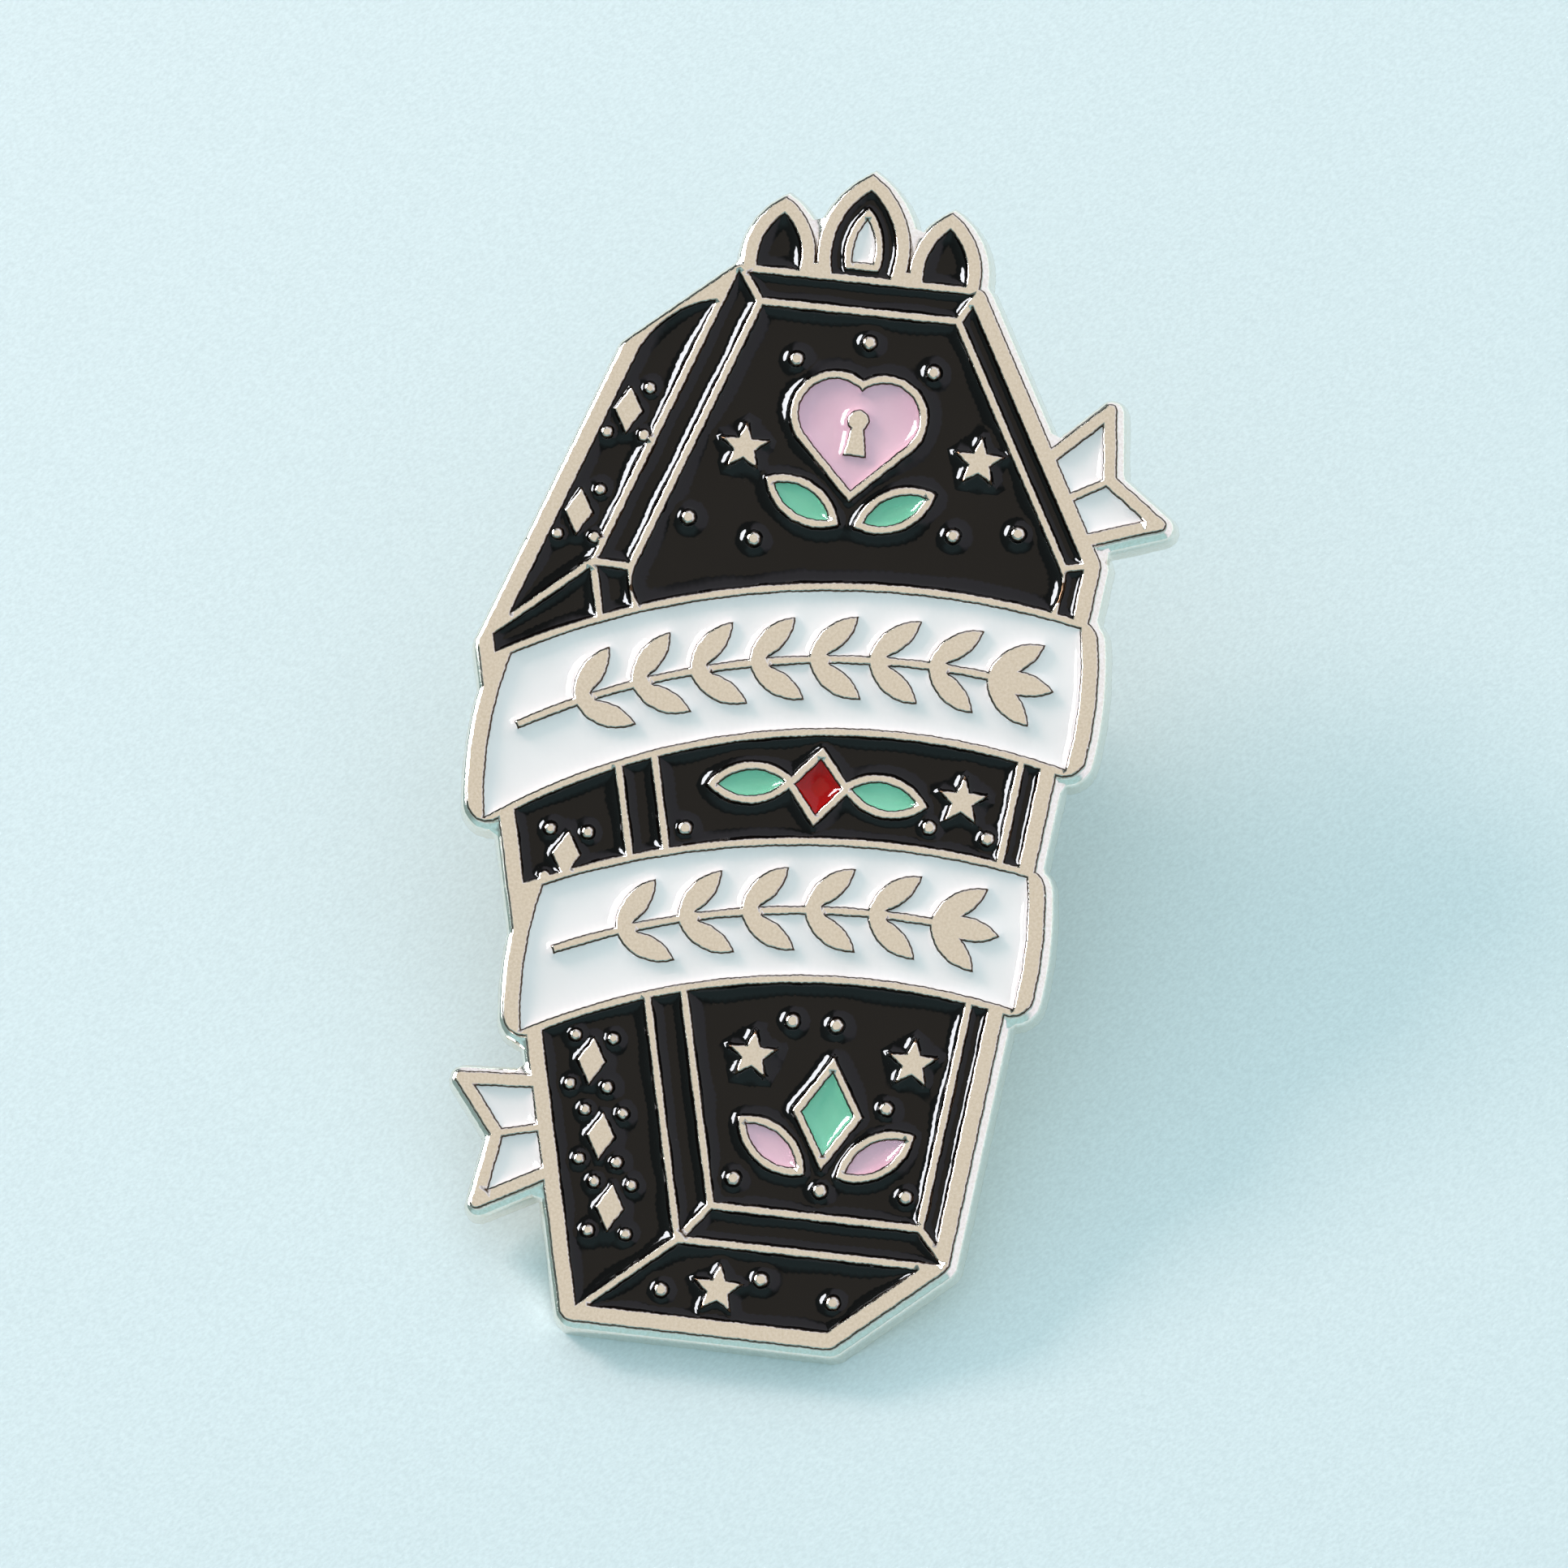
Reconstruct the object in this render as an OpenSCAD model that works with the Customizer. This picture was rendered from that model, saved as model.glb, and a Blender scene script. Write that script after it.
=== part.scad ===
// Soft-enamel pin: a coffin with two ribbons, a nail post and a butterfly clutch.
// Millimetres. The artwork is drawn flat, x to the right and y up from the foot edge, and stands up
// with its face toward -Y. The origin is where the axis of the post meets the back of the plate.

/* [Plate] */
// Thickness over the raised lines
plate_t = 1.6; // [1.2:0.05:2.4]
// Depth of the wells below the raised lines
well_d = 0.6; // [0.3:0.05:0.9]
// How far the enamel lies below the raised lines
enamel_drop = 0.18; // [0.05:0.01:0.25]
// Width of the rim's face
rim_w = 0.62; // [0.45:0.01:0.8]
// Width of a raised line
line_w = 0.32; // [0.24:0.01:0.4]
// How far the trimmed edge stands out beyond the face of the rim
edge_step = 0.36; // [0.1:0.02:0.5]
// Height of the trimmed edge above the back
edge_h = 0.95; // [0.6:0.05:1.1]
// Corner radius of the coffin
corner_r = 0.5; // [0.3:0.05:0.8]

/* [Coffin] */
// Width of the lid at the head
head_w = 8.4; // [7.6:0.1:9.2]
// Height of the head edge above the foot edge
head_y = 36.5; // [35.5:0.1:37.5]
// Width of the lid at the shoulders
shoulder_w = 17.2; // [16.4:0.1:18]
// Height of the shoulders
shoulder_y = 26.6; // [26:0.1:27.2]
// How much higher the right shoulder is drawn
shoulder_skew = 1.7; // [0:0.1:2.2]
// Width of the lid at the foot
foot_w = 9.2; // [8.6:0.1:9.8]
// Middle of the lid at the shoulders
lid_x = 1.65; // [1.2:0.05:2]
// Sideways shift of the lid from head to foot
lid_slant = 2.4; // [1.6:0.1:2.8]
// Drawn depth of the box, to the left
depth_x = 3.6; // [3.2:0.1:4]
// Drawn depth of the box, downward
depth_y = 3.15; // [2.9:0.05:3.4]
// Width of the moulding around the lid
mould_w = 1.25; // [1.15:0.05:1.4]

/* [Cresting] */
// Span of the middle arch
arch_span = 3.2; // [2.8:0.1:3.4]
// Height of the middle arch's springing
arch_spring = 0.75; // [0.4:0.05:1]
// Span of a side arch
side_span = 2.5; // [2.2:0.1:2.6]
// Height of a side arch's springing
side_spring = 0.3; // [0.2:0.05:0.6]
// Half width of the inlay in the middle arch
inlay_w = 0.36; // [0.3:0.01:0.42]

/* [Ribbons] */
// Height of the upper ribbon's crest
upper_y = 23.4; // [23:0.1:23.8]
// Width of the upper ribbon
upper_w = 5.3; // [5:0.1:5.6]
// Height of the lower ribbon's crest
lower_y = 14.8; // [14.4:0.1:15.2]
// Width of the lower ribbon
lower_w = 5; // [4.7:0.1:5.3]
// Radius along the middle of a ribbon
ribbon_r = 26; // [24:0.5:30]
// Place of the crests to the right
crest_x = 4.2; // [3.6:0.1:4.8]
// How far a ribbon stands out past the coffin
bulge = 0.75; // [0.5:0.05:1]
// Radius of a ribbon's bulging end
end_r = 14; // [13:0.5:18]
// Corner radius of a ribbon's end
end_round = 0.75; // [0.5:0.05:1]
// Corner radius of a tail
tail_round = 0.22; // [0.15:0.01:0.3]
// Reach of a ribbon's tail
tail_l = 2.7; // [2.3:0.1:3]
// Width of a tail at its root
tail_w = 3.7; // [3.4:0.1:4]
// Distance of the upper tail from the right shoulder
upper_tail_at = 0.7; // [0.5:0.1:1]
// Distance of the lower tail from the left shoulder
lower_tail_at = 14.9; // [14.6:0.1:15.2]
// Distance of a sprig from the ends of its ribbon
sprig_margin = 1.5; // [1.3:0.1:1.9]
// Pairs of leaves on the upper ribbon
upper_pairs = 8; // [6:1:9]
// Pairs of leaves on the lower ribbon
lower_pairs = 6; // [4:1:7]

/* [Motifs] */
// Side of the square in the heart
heart_s = 2.4; // [2.1:0.1:2.6]
// Radius of a star
star_r = 0.92; // [0.7:0.02:1]
// Radius of a dot
dot_r = 0.25; // [0.2:0.01:0.28]
// Length of a leaf
leaf_l = 2.2; // [1.8:0.1:2.4]
// Width of a leaf
leaf_w = 0.85; // [0.7:0.05:1]
// Half width of a lozenge
gem_w = 0.85; // [0.7:0.05:1]
// Half height of a lozenge
gem_h = 1.15; // [0.95:0.05:1.3]

/* [Post and clutch] */
// Height of the post above the foot edge
post_y = 24; // [22:0.5:26]
// Radius of the post
post_r = 0.55; // [0.5:0.01:0.6]
// Radius of the post past its groove
nose_r = 0.52; // [0.48:0.01:0.55]
// Length of the post from the back of the plate
post_l = 8.2; // [7.5:0.1:9]
// Length of the point
point_l = 1.2; // [0.8:0.1:1.5]
// Radius of the post's pad
pad_r = 2.4; // [2:0.1:3]
// Thickness of the pad
pad_t = 0.4; // [0.3:0.05:0.4]
// Width of the solder around the pad
solder_w = 0.4; // [0.2:0.05:0.5]
// Gap for cloth between the plate and the clutch
cloth_gap = 2.6; // [2.5:0.1:3]
// Clearance between the post and the clutch
clutch_clear = 0.06; // [0.04:0.01:0.1]
// Radius of the clutch's cap
cap_r = 5.65; // [5.4:0.05:5.9]
// Depth of the cap
cap_h = 1.9; // [1.8:0.05:2.1]
// Thickness of the cap's sheet
cap_t = 0.4; // [0.35:0.05:0.45]
// Thickness of a wing's sheet
wing_t = 0.3; // [0.25:0.05:0.35]
// Half width of a wing
wing_w = 2.9; // [2.6:0.1:3.1]
// Height of a wing's tip above the face of the cap
wing_h = 6.4; // [6:0.1:6.8]
// Reach of a wing's tip from the post
wing_reach = 5.5; // [5.2:0.1:5.7]

/* [Hidden] */
$fn = 96;
well_y = plate_t - well_d;
enamel_top = plate_t - enamel_drop;
groove_r = nose_r - 0.1;
groove_l = 0.5;
nose_l = 0.6;
groove_at = post_l - point_l - nose_l - groove_l;

function lid_mid(y) = lid_x + lid_slant * (shoulder_y - y) / (head_y - depth_y);
lid = [
    [lid_mid(depth_y) - foot_w / 2, depth_y],
    [lid_mid(depth_y) + foot_w / 2, depth_y],
    [lid_mid(shoulder_y) + shoulder_w / 2, shoulder_y + shoulder_skew / 2],
    [lid_mid(head_y) + head_w / 2, head_y],
    [lid_mid(head_y) - head_w / 2, head_y],
    [lid_mid(shoulder_y) - shoulder_w / 2, shoulder_y - shoulder_skew / 2],
];
base = [for (p = lid) p - [depth_x, depth_y]];
outline = [base[0], base[1], lid[1], lid[2], lid[3], lid[4], base[4], base[5]];
lid_edge_w = [line_w / 2, rim_w, rim_w, line_w, line_w / 2, line_w / 2];
side_head = [lid[4], base[4], base[5], lid[5]];
side_body = [lid[5], base[5], base[0], lid[0]];
foot_wall = [lid[0], base[0], base[1], lid[1]];

// Point on the line from a to b, moved to its left side by d
function pushed(a, b, d) = a + d * [a.y - b.y, b.x - a.x] / norm(b - a);
// Where the line through p along u meets the line through q along v
function meet(p, u, q, v) = p + u * ((q - p).x * v.y - (q - p).y * v.x) / (u.x * v.y - u.y * v.x);
// Corners of a convex polygon, counter-clockwise, with edge i moved inward by d[i]
function inset(p, d) = [
    for (i = [0:len(p) - 1])
        let (n = len(p), h = (i + n - 1) % n, j = (i + 1) % n)
        meet(pushed(p[h], p[i], d[h]), p[i] - p[h], pushed(p[i], p[j], d[i]), p[j] - p[i])
];
function same(n, d) = [for (i = [0:n - 1]) d];
// Height of a ribbon's middle at x, and where it meets the left or right edge of the coffin
function ribbon_at(crest_y, x) = crest_y - ribbon_r + sqrt(ribbon_r * ribbon_r - pow(x - crest_x, 2));
function edge_x(a, b, y) = a.x + (b.x - a.x) * (y - a.y) / (b.y - a.y);
function left_end(crest_y) =
    edge_x(outline[7], outline[0], ribbon_at(crest_y, outline[7].x)) - bulge;
function right_end(crest_y) = edge_x(lid[1], lid[2], crest_y) + bulge;
// Middle of the circle that bounds a ribbon's end, on the left (-1) or the right (1)
function end_middle(crest_y, side) =
    let (x = side < 0 ? left_end(crest_y) : right_end(crest_y))
    [x - side * end_r, ribbon_at(crest_y, x)];
// Place on the middle line of the side wall, from the head (0) to the shoulder (1) to the foot (2)
function wall_at(t) =
    let (a = t < 1 ? lid[4] : lid[5], b = t < 1 ? lid[5] : lid[0], s = t < 1 ? t : t - 1)
    a + (b - a) * s - [depth_x, depth_y] / 2;

// Middle of the gap between the ribbons at x
function between(x) =
    [x, (ribbon_at(upper_y, x) - upper_w / 2 + ribbon_at(lower_y, x) + lower_w / 2) / 2];

stars_upper = [[-2.3, 30.2], [5.7, 30.5]];
dots_upper = [
    [1.5, 34.2], [-0.9, 33.4], [3.8, 33.4], [-1.6, 27.1], [-3.9, 27.6], [7.3, 28.2], [5.1, 27.9],
];
// Clear height between the ribbons, and the room that stays beside a motif and a dot in it
ribbon_gap = upper_y - lower_y - (upper_w + lower_w) / 2;
motif_room = 0.3;
dot_room = 0.4;
stars_middle = [between(6.5)];
dots_middle = [for (x = [-2.7, 5.5, 7.5]) between(x) - [0, ribbon_gap / 2 - dot_room - dot_r]];
stars_lower = [[0.5, 9.6], [5.9, 9.9]];
dots_lower = [[3.2, 10.9], [1.7, 10.9], [5.2, 8.3], [0.35, 5.4], [3.3, 5.3], [6.2, 5.4]];
stars_foot = [[0.3, 1.62]];
dots_foot = [[1.7, 2.1], [-1.6, 1.4], [4.2, 1.6]];
heart_at = [1.45, 29.1];
gem_at = between(1.6);
lower_gem_at = [3.25, 7.9];
side_upper_at = [0.36, 0.7];
side_middle_at = [1 + (lid[5].y - depth_y / 2 - between(base[5].x + 2).y) / (lid[5].y - lid[0].y)];
side_lower_at = [1.68, 1.79, 1.895];

module stand() {
    rotate([90, 0, 0])
        translate([0, -post_y, 0])
            children();
}

module turn_back() {
    rotate([-90, 0, 0])
        children();
}

module coffin_2d(grow) {
    hull()
        for (p = inset(outline, same(8, corner_r)))
            translate(p)
                circle(corner_r + grow, $fn = 24);
}

module arch_2d(span, spring, cut) {
    intersection() {
        translate([-span / 2, head_y + spring])
            circle(span - cut);
        translate([span / 2, head_y + spring])
            circle(span - cut);
        translate([-span / 2 + cut, head_y])
            square([span - 2 * cut, 3 * span]);
    }
}

module cresting_2d(cut) {
    translate([lid_mid(head_y), 0])
        arch_2d(arch_span, arch_spring, cut);
    for (s = [-1, 1])
        translate([lid_mid(head_y) + s * (arch_span + side_span) / 2, 0])
            arch_2d(side_span, side_spring, cut);
}

module cresting_root_2d(grow) {
    half = arch_span / 2 + side_span + grow;
    translate([lid_mid(head_y) - half, head_y - corner_r])
        square([2 * half, corner_r + side_spring]);
}

module ribbon_disc(crest_y, grow) {
    translate([crest_x, crest_y - ribbon_r])
        circle(ribbon_r + grow);
}

module ribbon_2d(crest_y, width, edge, tip) {
    intersection() {
        difference() {
            ribbon_disc(crest_y, width / 2 - edge);
            ribbon_disc(crest_y, edge - width / 2);
        }
        translate(end_middle(crest_y, -1))
            circle(end_r - tip);
        translate(end_middle(crest_y, 1))
            circle(end_r - tip);
    }
}

module ribbon_outline_2d(crest_y, width, grow) {
    offset(r = end_round + grow, $fn = 48)
        offset(delta = -end_round)
            ribbon_2d(crest_y, width, 0, 0, $fn = 240);
}

// Corners of one prong of a swallowtail: root from a to b on the coffin's edge, seen from outside
function prong(a, b, notch, tip) =
    let (u = (b - a) / norm(b - a), n = [u.y, -u.x])
    [a, a + notch * n, b + tip * n + u * tail_l * 0.26, b];

// The two prongs of a tail whose root runs up the line from a to b, w wide, from t up
function tail(a, b, t, w) =
    let (u = (b - a) / norm(b - a), p = a + t * u, q = p + u * w / 2, r = p + u * w, n = [u.y, -u.x])
    [prong(q, r, tail_l * 0.6, tail_l), [p, p + tail_l * n - u * tail_l * 0.19, q + tail_l * 0.6 * n, q]];

upper_tail = tail(lid[2], lid[3], upper_tail_at, tail_w);
lower_tail = tail(base[5], base[0], lower_tail_at, tail_w);

module tail_cells_2d(prongs) {
    polygon(inset(prongs[0], [line_w / 2, rim_w * 0.8, rim_w * 0.8, 0]));
    polygon(inset(prongs[1], [rim_w * 0.8, rim_w * 0.8, line_w / 2, 0]));
}

module tail_outline_2d(prongs, grow) {
    offset(r = tail_round + grow, $fn = 16)
        offset(delta = -tail_round)
            for (p = prongs)
                polygon(inset(p, [0, 0, 0, -1]));
}

module silhouette_2d(grow) {
    coffin_2d(grow);
    cresting_2d(-grow);
    cresting_root_2d(grow);
    ribbon_outline_2d(upper_y, upper_w, grow);
    ribbon_outline_2d(lower_y, lower_w, grow);
    tail_outline_2d(upper_tail, grow);
    tail_outline_2d(lower_tail, grow);
}

module upper_zone() {
    difference() {
        children();
        ribbon_disc(upper_y, upper_w / 2);
    }
}

module middle_zone() {
    difference() {
        intersection() {
            children();
            ribbon_disc(upper_y, -upper_w / 2);
        }
        ribbon_disc(lower_y, lower_w / 2);
    }
}

module lower_zone() {
    intersection() {
        children();
        ribbon_disc(lower_y, -lower_w / 2);
    }
}

module lid_field_2d() {
    polygon(inset(lid, same(6, mould_w + line_w / 2)));
}

module mouldings_2d() {
    inner = inset(lid, same(6, mould_w));
    for (i = [0:5]) {
        j = (i + 1) % 6;
        polygon(inset([lid[i], lid[j], inner[j], inner[i]],
                      [lid_edge_w[i], line_w / 2, line_w / 2, line_w / 2]));
    }
}

module side_head_2d() {
    polygon(inset(side_head, [rim_w, rim_w, line_w / 2, line_w / 2]));
}

module side_body_2d() {
    polygon(inset(side_body, [line_w / 2, rim_w, line_w / 2, line_w / 2]));
}

module foot_wall_2d() {
    polygon(inset(foot_wall, [line_w / 2, rim_w, rim_w, line_w / 2]));
}

module star_2d(r) {
    polygon([for (i = [0:9]) (i % 2 == 0 ? r : r * 0.45) * [sin(36 * i), cos(36 * i)]]);
}

module leaf_2d(l, w, grow) {
    r = (l * l / 4 + w * w / 4) / w;
    intersection() {
        translate([0, r - w / 2])
            circle(r + grow);
        translate([0, w / 2 - r])
            circle(r + grow);
    }
}

module lozenge_2d(w, h, grow) {
    g = 1 + grow * norm([w, h]) / (w * h);
    polygon([[0, -h * g], [w * g, 0], [0, h * g], [-w * g, 0]]);
}

module heart_2d(grow) {
    translate(heart_at)
        rotate(45) {
            translate([-grow, -grow])
                square(heart_s + grow);
            translate([heart_s, heart_s / 2])
                circle(heart_s / 2 + grow);
            translate([heart_s / 2, heart_s])
                circle(heart_s / 2 + grow);
        }
}

module keyhole_2d() {
    translate(heart_at + [0, heart_s]) {
        circle(heart_s * 0.16);
        polygon(heart_s * [[-0.17, -0.52], [0.17, -0.52], [0.08, 0], [-0.08, 0]]);
    }
}

module mint_upper_2d(grow) {
    for (s = [-1, 1])
        translate(heart_at + [s * leaf_l * 0.72, -0.55])
            rotate(s * 28)
                leaf_2d(leaf_l, leaf_w, grow);
}

module mint_middle_2d(grow) {
    for (s = [-1, 1])
        translate(gem_at + [s * (gem_w + leaf_l * 0.5 + line_w), -0.1])
            rotate(s * -8)
                leaf_2d(leaf_l, leaf_w, grow);
}

module red_middle_2d(grow) {
    translate(gem_at)
        lozenge_2d(gem_w * 0.9, ribbon_gap / 2 - motif_room - 1.6 * line_w, grow);
}

module mint_lower_2d(grow) {
    translate(lower_gem_at)
        lozenge_2d(gem_w, gem_h * 1.2, grow);
}

module pink_lower_2d(grow) {
    for (s = [-1, 1])
        translate(lower_gem_at + [s * leaf_l * 0.8, -gem_h * 1.1])
            rotate(s * 35)
                leaf_2d(leaf_l, leaf_w, grow);
}

module spots_2d(stars, dots) {
    for (p = stars)
        translate(p)
            star_2d(star_r);
    for (p = dots)
        translate(p)
            circle(dot_r, $fn = 24);
}

module bead_lozenges_2d(places) {
    for (t = places)
        translate(wall_at(t)) {
            lozenge_2d(gem_w * 0.6, gem_h * 0.75, 0);
            for (sx = [-1, 1], sy = [-1, 1])
                translate([sx * gem_w * 0.75, sy * gem_h * 0.72])
                    circle(dot_r * 0.85, $fn = 24);
        }
}

// Angle of x on a ribbon, from its crest to the left
function ribbon_angle(x) = asin((crest_x - x) / ribbon_r);

module sprig_2d(crest_y, pairs) {
    stem = ribbon_angle(left_end(crest_y) + sprig_margin);
    end = ribbon_angle(right_end(crest_y) - sprig_margin) + asin(leaf_l / 2 / ribbon_r);
    step = (stem - end) / (pairs + 0.65);
    translate([crest_x, crest_y - ribbon_r]) {
        for (i = [1:pairs])
            rotate(stem - i * step)
                translate([0, ribbon_r])
                    for (s = [-1, 1])
                        rotate(s * 38)
                            translate([leaf_l * 0.55, 0])
                                leaf_2d(leaf_l, leaf_w, 0);
        rotate(end)
            translate([0, ribbon_r])
                leaf_2d(leaf_l, leaf_w, 0);
        intersection() {
            difference() {
                circle(ribbon_r + line_w / 2);
                circle(ribbon_r - line_w / 2);
            }
            polygon(2 * ribbon_r * [[0, 0], [-sin(stem), cos(stem)], [-sin(end), cos(end)]]);
        }
    }
}

module black_lid_upper_2d() {
    difference() {
        upper_zone()
            lid_field_2d();
        heart_2d(line_w);
        mint_upper_2d(line_w);
        spots_2d(stars_upper, dots_upper);
    }
}

module black_lid_middle_2d() {
    difference() {
        middle_zone()
            lid_field_2d();
        red_middle_2d(line_w);
        mint_middle_2d(line_w);
        spots_2d(stars_middle, dots_middle);
    }
}

module black_lid_lower_2d() {
    difference() {
        lower_zone()
            lid_field_2d();
        mint_lower_2d(line_w);
        pink_lower_2d(line_w);
        spots_2d(stars_lower, dots_lower);
    }
}

module black_side_upper_2d() {
    difference() {
        upper_zone() {
            side_head_2d();
            side_body_2d();
        }
        bead_lozenges_2d(side_upper_at);
    }
}

module black_side_middle_2d() {
    difference() {
        middle_zone()
            side_body_2d();
        bead_lozenges_2d(side_middle_at);
    }
}

module black_side_lower_2d() {
    difference() {
        lower_zone()
            side_body_2d();
        bead_lozenges_2d(side_lower_at);
    }
}

module black_foot_2d() {
    difference() {
        foot_wall_2d();
        spots_2d(stars_foot, dots_foot);
    }
}

module crest_inlay_2d(grow) {
    translate([lid_mid(head_y), 0])
        intersection() {
            arch_2d(arch_span, arch_spring, arch_span / 2 - inlay_w - grow);
            translate([-arch_span, head_y + 0.45 - grow])
                square(2 * arch_span);
        }
}

module black_cresting_2d() {
    difference() {
        cresting_2d(rim_w * 0.85);
        crest_inlay_2d(line_w);
    }
}

module white_ribbon_upper_2d() {
    difference() {
        ribbon_2d(upper_y, upper_w, line_w, rim_w);
        sprig_2d(upper_y, upper_pairs);
    }
}

module white_ribbon_lower_2d() {
    difference() {
        ribbon_2d(lower_y, lower_w, line_w, rim_w);
        sprig_2d(lower_y, lower_pairs);
    }
}

module pink_enamel_2d() {
    difference() {
        heart_2d(0);
        keyhole_2d();
    }
    pink_lower_2d(0);
}

module mint_enamel_2d() {
    mint_upper_2d(0);
    mint_middle_2d(0);
    mint_lower_2d(0);
}

module fill(paint) {
    color(paint)
        stand()
            translate([0, 0, well_y])
                linear_extrude(enamel_top - well_y)
                    children();
}

module well() {
    translate([0, 0, well_y])
        linear_extrude(well_d + 1)
            children();
}

module base_plate() {
    color("#cfc6b4")
        stand()
            difference() {
                union() {
                    linear_extrude(edge_h)
                        silhouette_2d(edge_step);
                    linear_extrude(plate_t)
                        silhouette_2d(0);
                }
                well() black_lid_upper_2d();
                well() black_lid_middle_2d();
                well() black_lid_lower_2d();
                well() upper_zone() mouldings_2d();
                well() middle_zone() mouldings_2d();
                well() lower_zone() mouldings_2d();
                well() black_side_upper_2d();
                well() black_side_middle_2d();
                well() black_side_lower_2d();
                well() black_foot_2d();
                well() black_cresting_2d();
                well() white_ribbon_upper_2d();
                well() white_ribbon_lower_2d();
                well() tail_cells_2d(upper_tail);
                well() tail_cells_2d(lower_tail);
                well() crest_inlay_2d(0);
                well() mint_enamel_2d();
                well() pink_enamel_2d();
                well() red_middle_2d(0);
            }
}

module post() {
    color("#c9c4b8")
        turn_back() {
            cylinder(r = pad_r, h = pad_t);
            cylinder(r = post_r, h = groove_at);
            translate([0, 0, groove_at])
                cylinder(r = groove_r, h = groove_l);
            translate([0, 0, groove_at + groove_l])
                cylinder(r = nose_r, h = nose_l);
            translate([0, 0, post_l - point_l])
                cylinder(r1 = nose_r, r2 = nose_r * 0.15, h = point_l);
        }
}

module post_solder() {
    color("#b3b0a8")
        turn_back()
            rotate_extrude()
                polygon([[pad_r, 0], [pad_r + solder_w, 0], [pad_r + solder_w * 0.35, pad_t * 0.35],
                         [pad_r, pad_t * 0.85]]);
}

module clutch_cap() {
    color("#c7c3b6")
        turn_back()
            translate([0, 0, cloth_gap])
                rotate_extrude()
                    polygon([
                        [post_r + clutch_clear, 0],
                        [cap_r - 0.6, 0],
                        [cap_r - 0.2, cap_t * 0.4],
                        [cap_r, cap_t * 1.4],
                        [cap_r, cap_h - cap_t],
                        [cap_r - 0.2, cap_h - cap_t * 0.3],
                        [cap_r - 0.7, cap_h],
                        [cap_r - 0.7, cap_h - cap_t * 0.8],
                        [cap_r - cap_t, cap_h - cap_t],
                        [cap_r - cap_t, cap_t * 1.5],
                        [cap_r - cap_t - 0.25, cap_t],
                        [post_r + clutch_clear, cap_t],
                    ]);
}

// Side profile of the leaf whose wing is on the left: from its root under the rim on the right,
// past the post and up to the tip
wing_root = [cap_r - cap_t - 0.55, cap_t + wing_t / 2 + 0.08];
wing_knee = [wing_root.x - 1.5, wing_root.y + 0.08];
wing_cross = [0, cap_t + 1.45];
wing_bend = [-2.7, cap_t + 2.3];
wing_tip = [-wing_reach, wing_h];
wing_line = [wing_root, wing_knee, wing_cross, wing_bend, wing_tip];
// Half length of the window in one leaf and of the neck of the other, and their half widths
wing_slot = 1.6;
wing_window = 1.55;
wing_neck = 1.3;

// Points of a line moved sideways by d, mitred at its bends
function beside(p, d) = [
    for (i = [0:len(p) - 1])
        let (h = max(i - 1, 0), j = min(i + 1, len(p) - 1),
             a = i == 0 ? p[1] - p[0] : p[i] - p[h], b = i == len(p) - 1 ? a : p[j] - p[i],
             m = a / norm(a) + b / norm(b), n = [-m.y, m.x] / norm(m))
        p[i] + d / (n * [-a.y, a.x] / norm(a)) * n
];

module wing_sheet() {
    intersection() {
        rotate([90, 0, 0])
            linear_extrude(2 * wing_w, center = true)
                polygon(concat(beside(wing_line, wing_t / 2),
                               [for (i = [len(wing_line) - 1:-1:0]) beside(wing_line, -wing_t / 2)[i]]));
        union() {
            cylinder(r = cap_r - cap_t - 0.4, h = wing_h + 2);
            intersection() {
                cylinder(r = wing_reach - 0.15, h = wing_h + 2);
                translate([-wing_reach, -wing_w, 0])
                    cube([wing_reach, 2 * wing_w, wing_h + 2]);
            }
        }
    }
}

module clutch_wing_left() {
    color("#cfcabd")
        turn_back()
            translate([0, 0, cloth_gap])
                difference() {
                    wing_sheet();
                    translate([-wing_slot, -wing_window, 0])
                        cube([2 * wing_slot, 2 * wing_window, wing_h]);
                }
}

module clutch_wing_right() {
    color("#cfcabd")
        turn_back()
            translate([0, 0, cloth_gap])
                difference() {
                    mirror([1, 0, 0])
                        wing_sheet();
                    for (s = [-1, 1])
                        translate([-wing_slot, s > 0 ? wing_neck : -wing_neck - wing_w, 0])
                            cube([2 * wing_slot, wing_w, wing_h]);
                    translate([0.12, 0, 0])
                        cylinder(r = post_r + clutch_clear + 0.12, h = wing_h);
                }
}

module black_lid_upper() fill("#1d1a1b") black_lid_upper_2d();
module black_lid_middle() fill("#1d1a1b") black_lid_middle_2d();
module black_lid_lower() fill("#1d1a1b") black_lid_lower_2d();
module black_moulding_upper() fill("#1d1a1b") upper_zone() mouldings_2d();
module black_moulding_middle() fill("#1d1a1b") middle_zone() mouldings_2d();
module black_moulding_lower() fill("#1d1a1b") lower_zone() mouldings_2d();
module black_side_upper() fill("#1d1a1b") black_side_upper_2d();
module black_side_middle() fill("#1d1a1b") black_side_middle_2d();
module black_side_lower() fill("#1d1a1b") black_side_lower_2d();
module black_foot() fill("#1d1a1b") black_foot_2d();
module black_cresting() fill("#1d1a1b") black_cresting_2d();
module white_ribbon_upper() fill("#eef0f4") white_ribbon_upper_2d();
module white_ribbon_lower() fill("#eef0f4") white_ribbon_lower_2d();
module white_tail_upper() fill("#eef0f4") tail_cells_2d(upper_tail);
module white_tail_lower() fill("#eef0f4") tail_cells_2d(lower_tail);
module white_crest_inlay() fill("#eef0f4") crest_inlay_2d(0);
module mint_enamel() fill("#6fc4a4") mint_enamel_2d();
module pink_enamel() fill("#dcb8cb") pink_enamel_2d();
module red_enamel() fill("#a81515") red_middle_2d(0);

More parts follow.
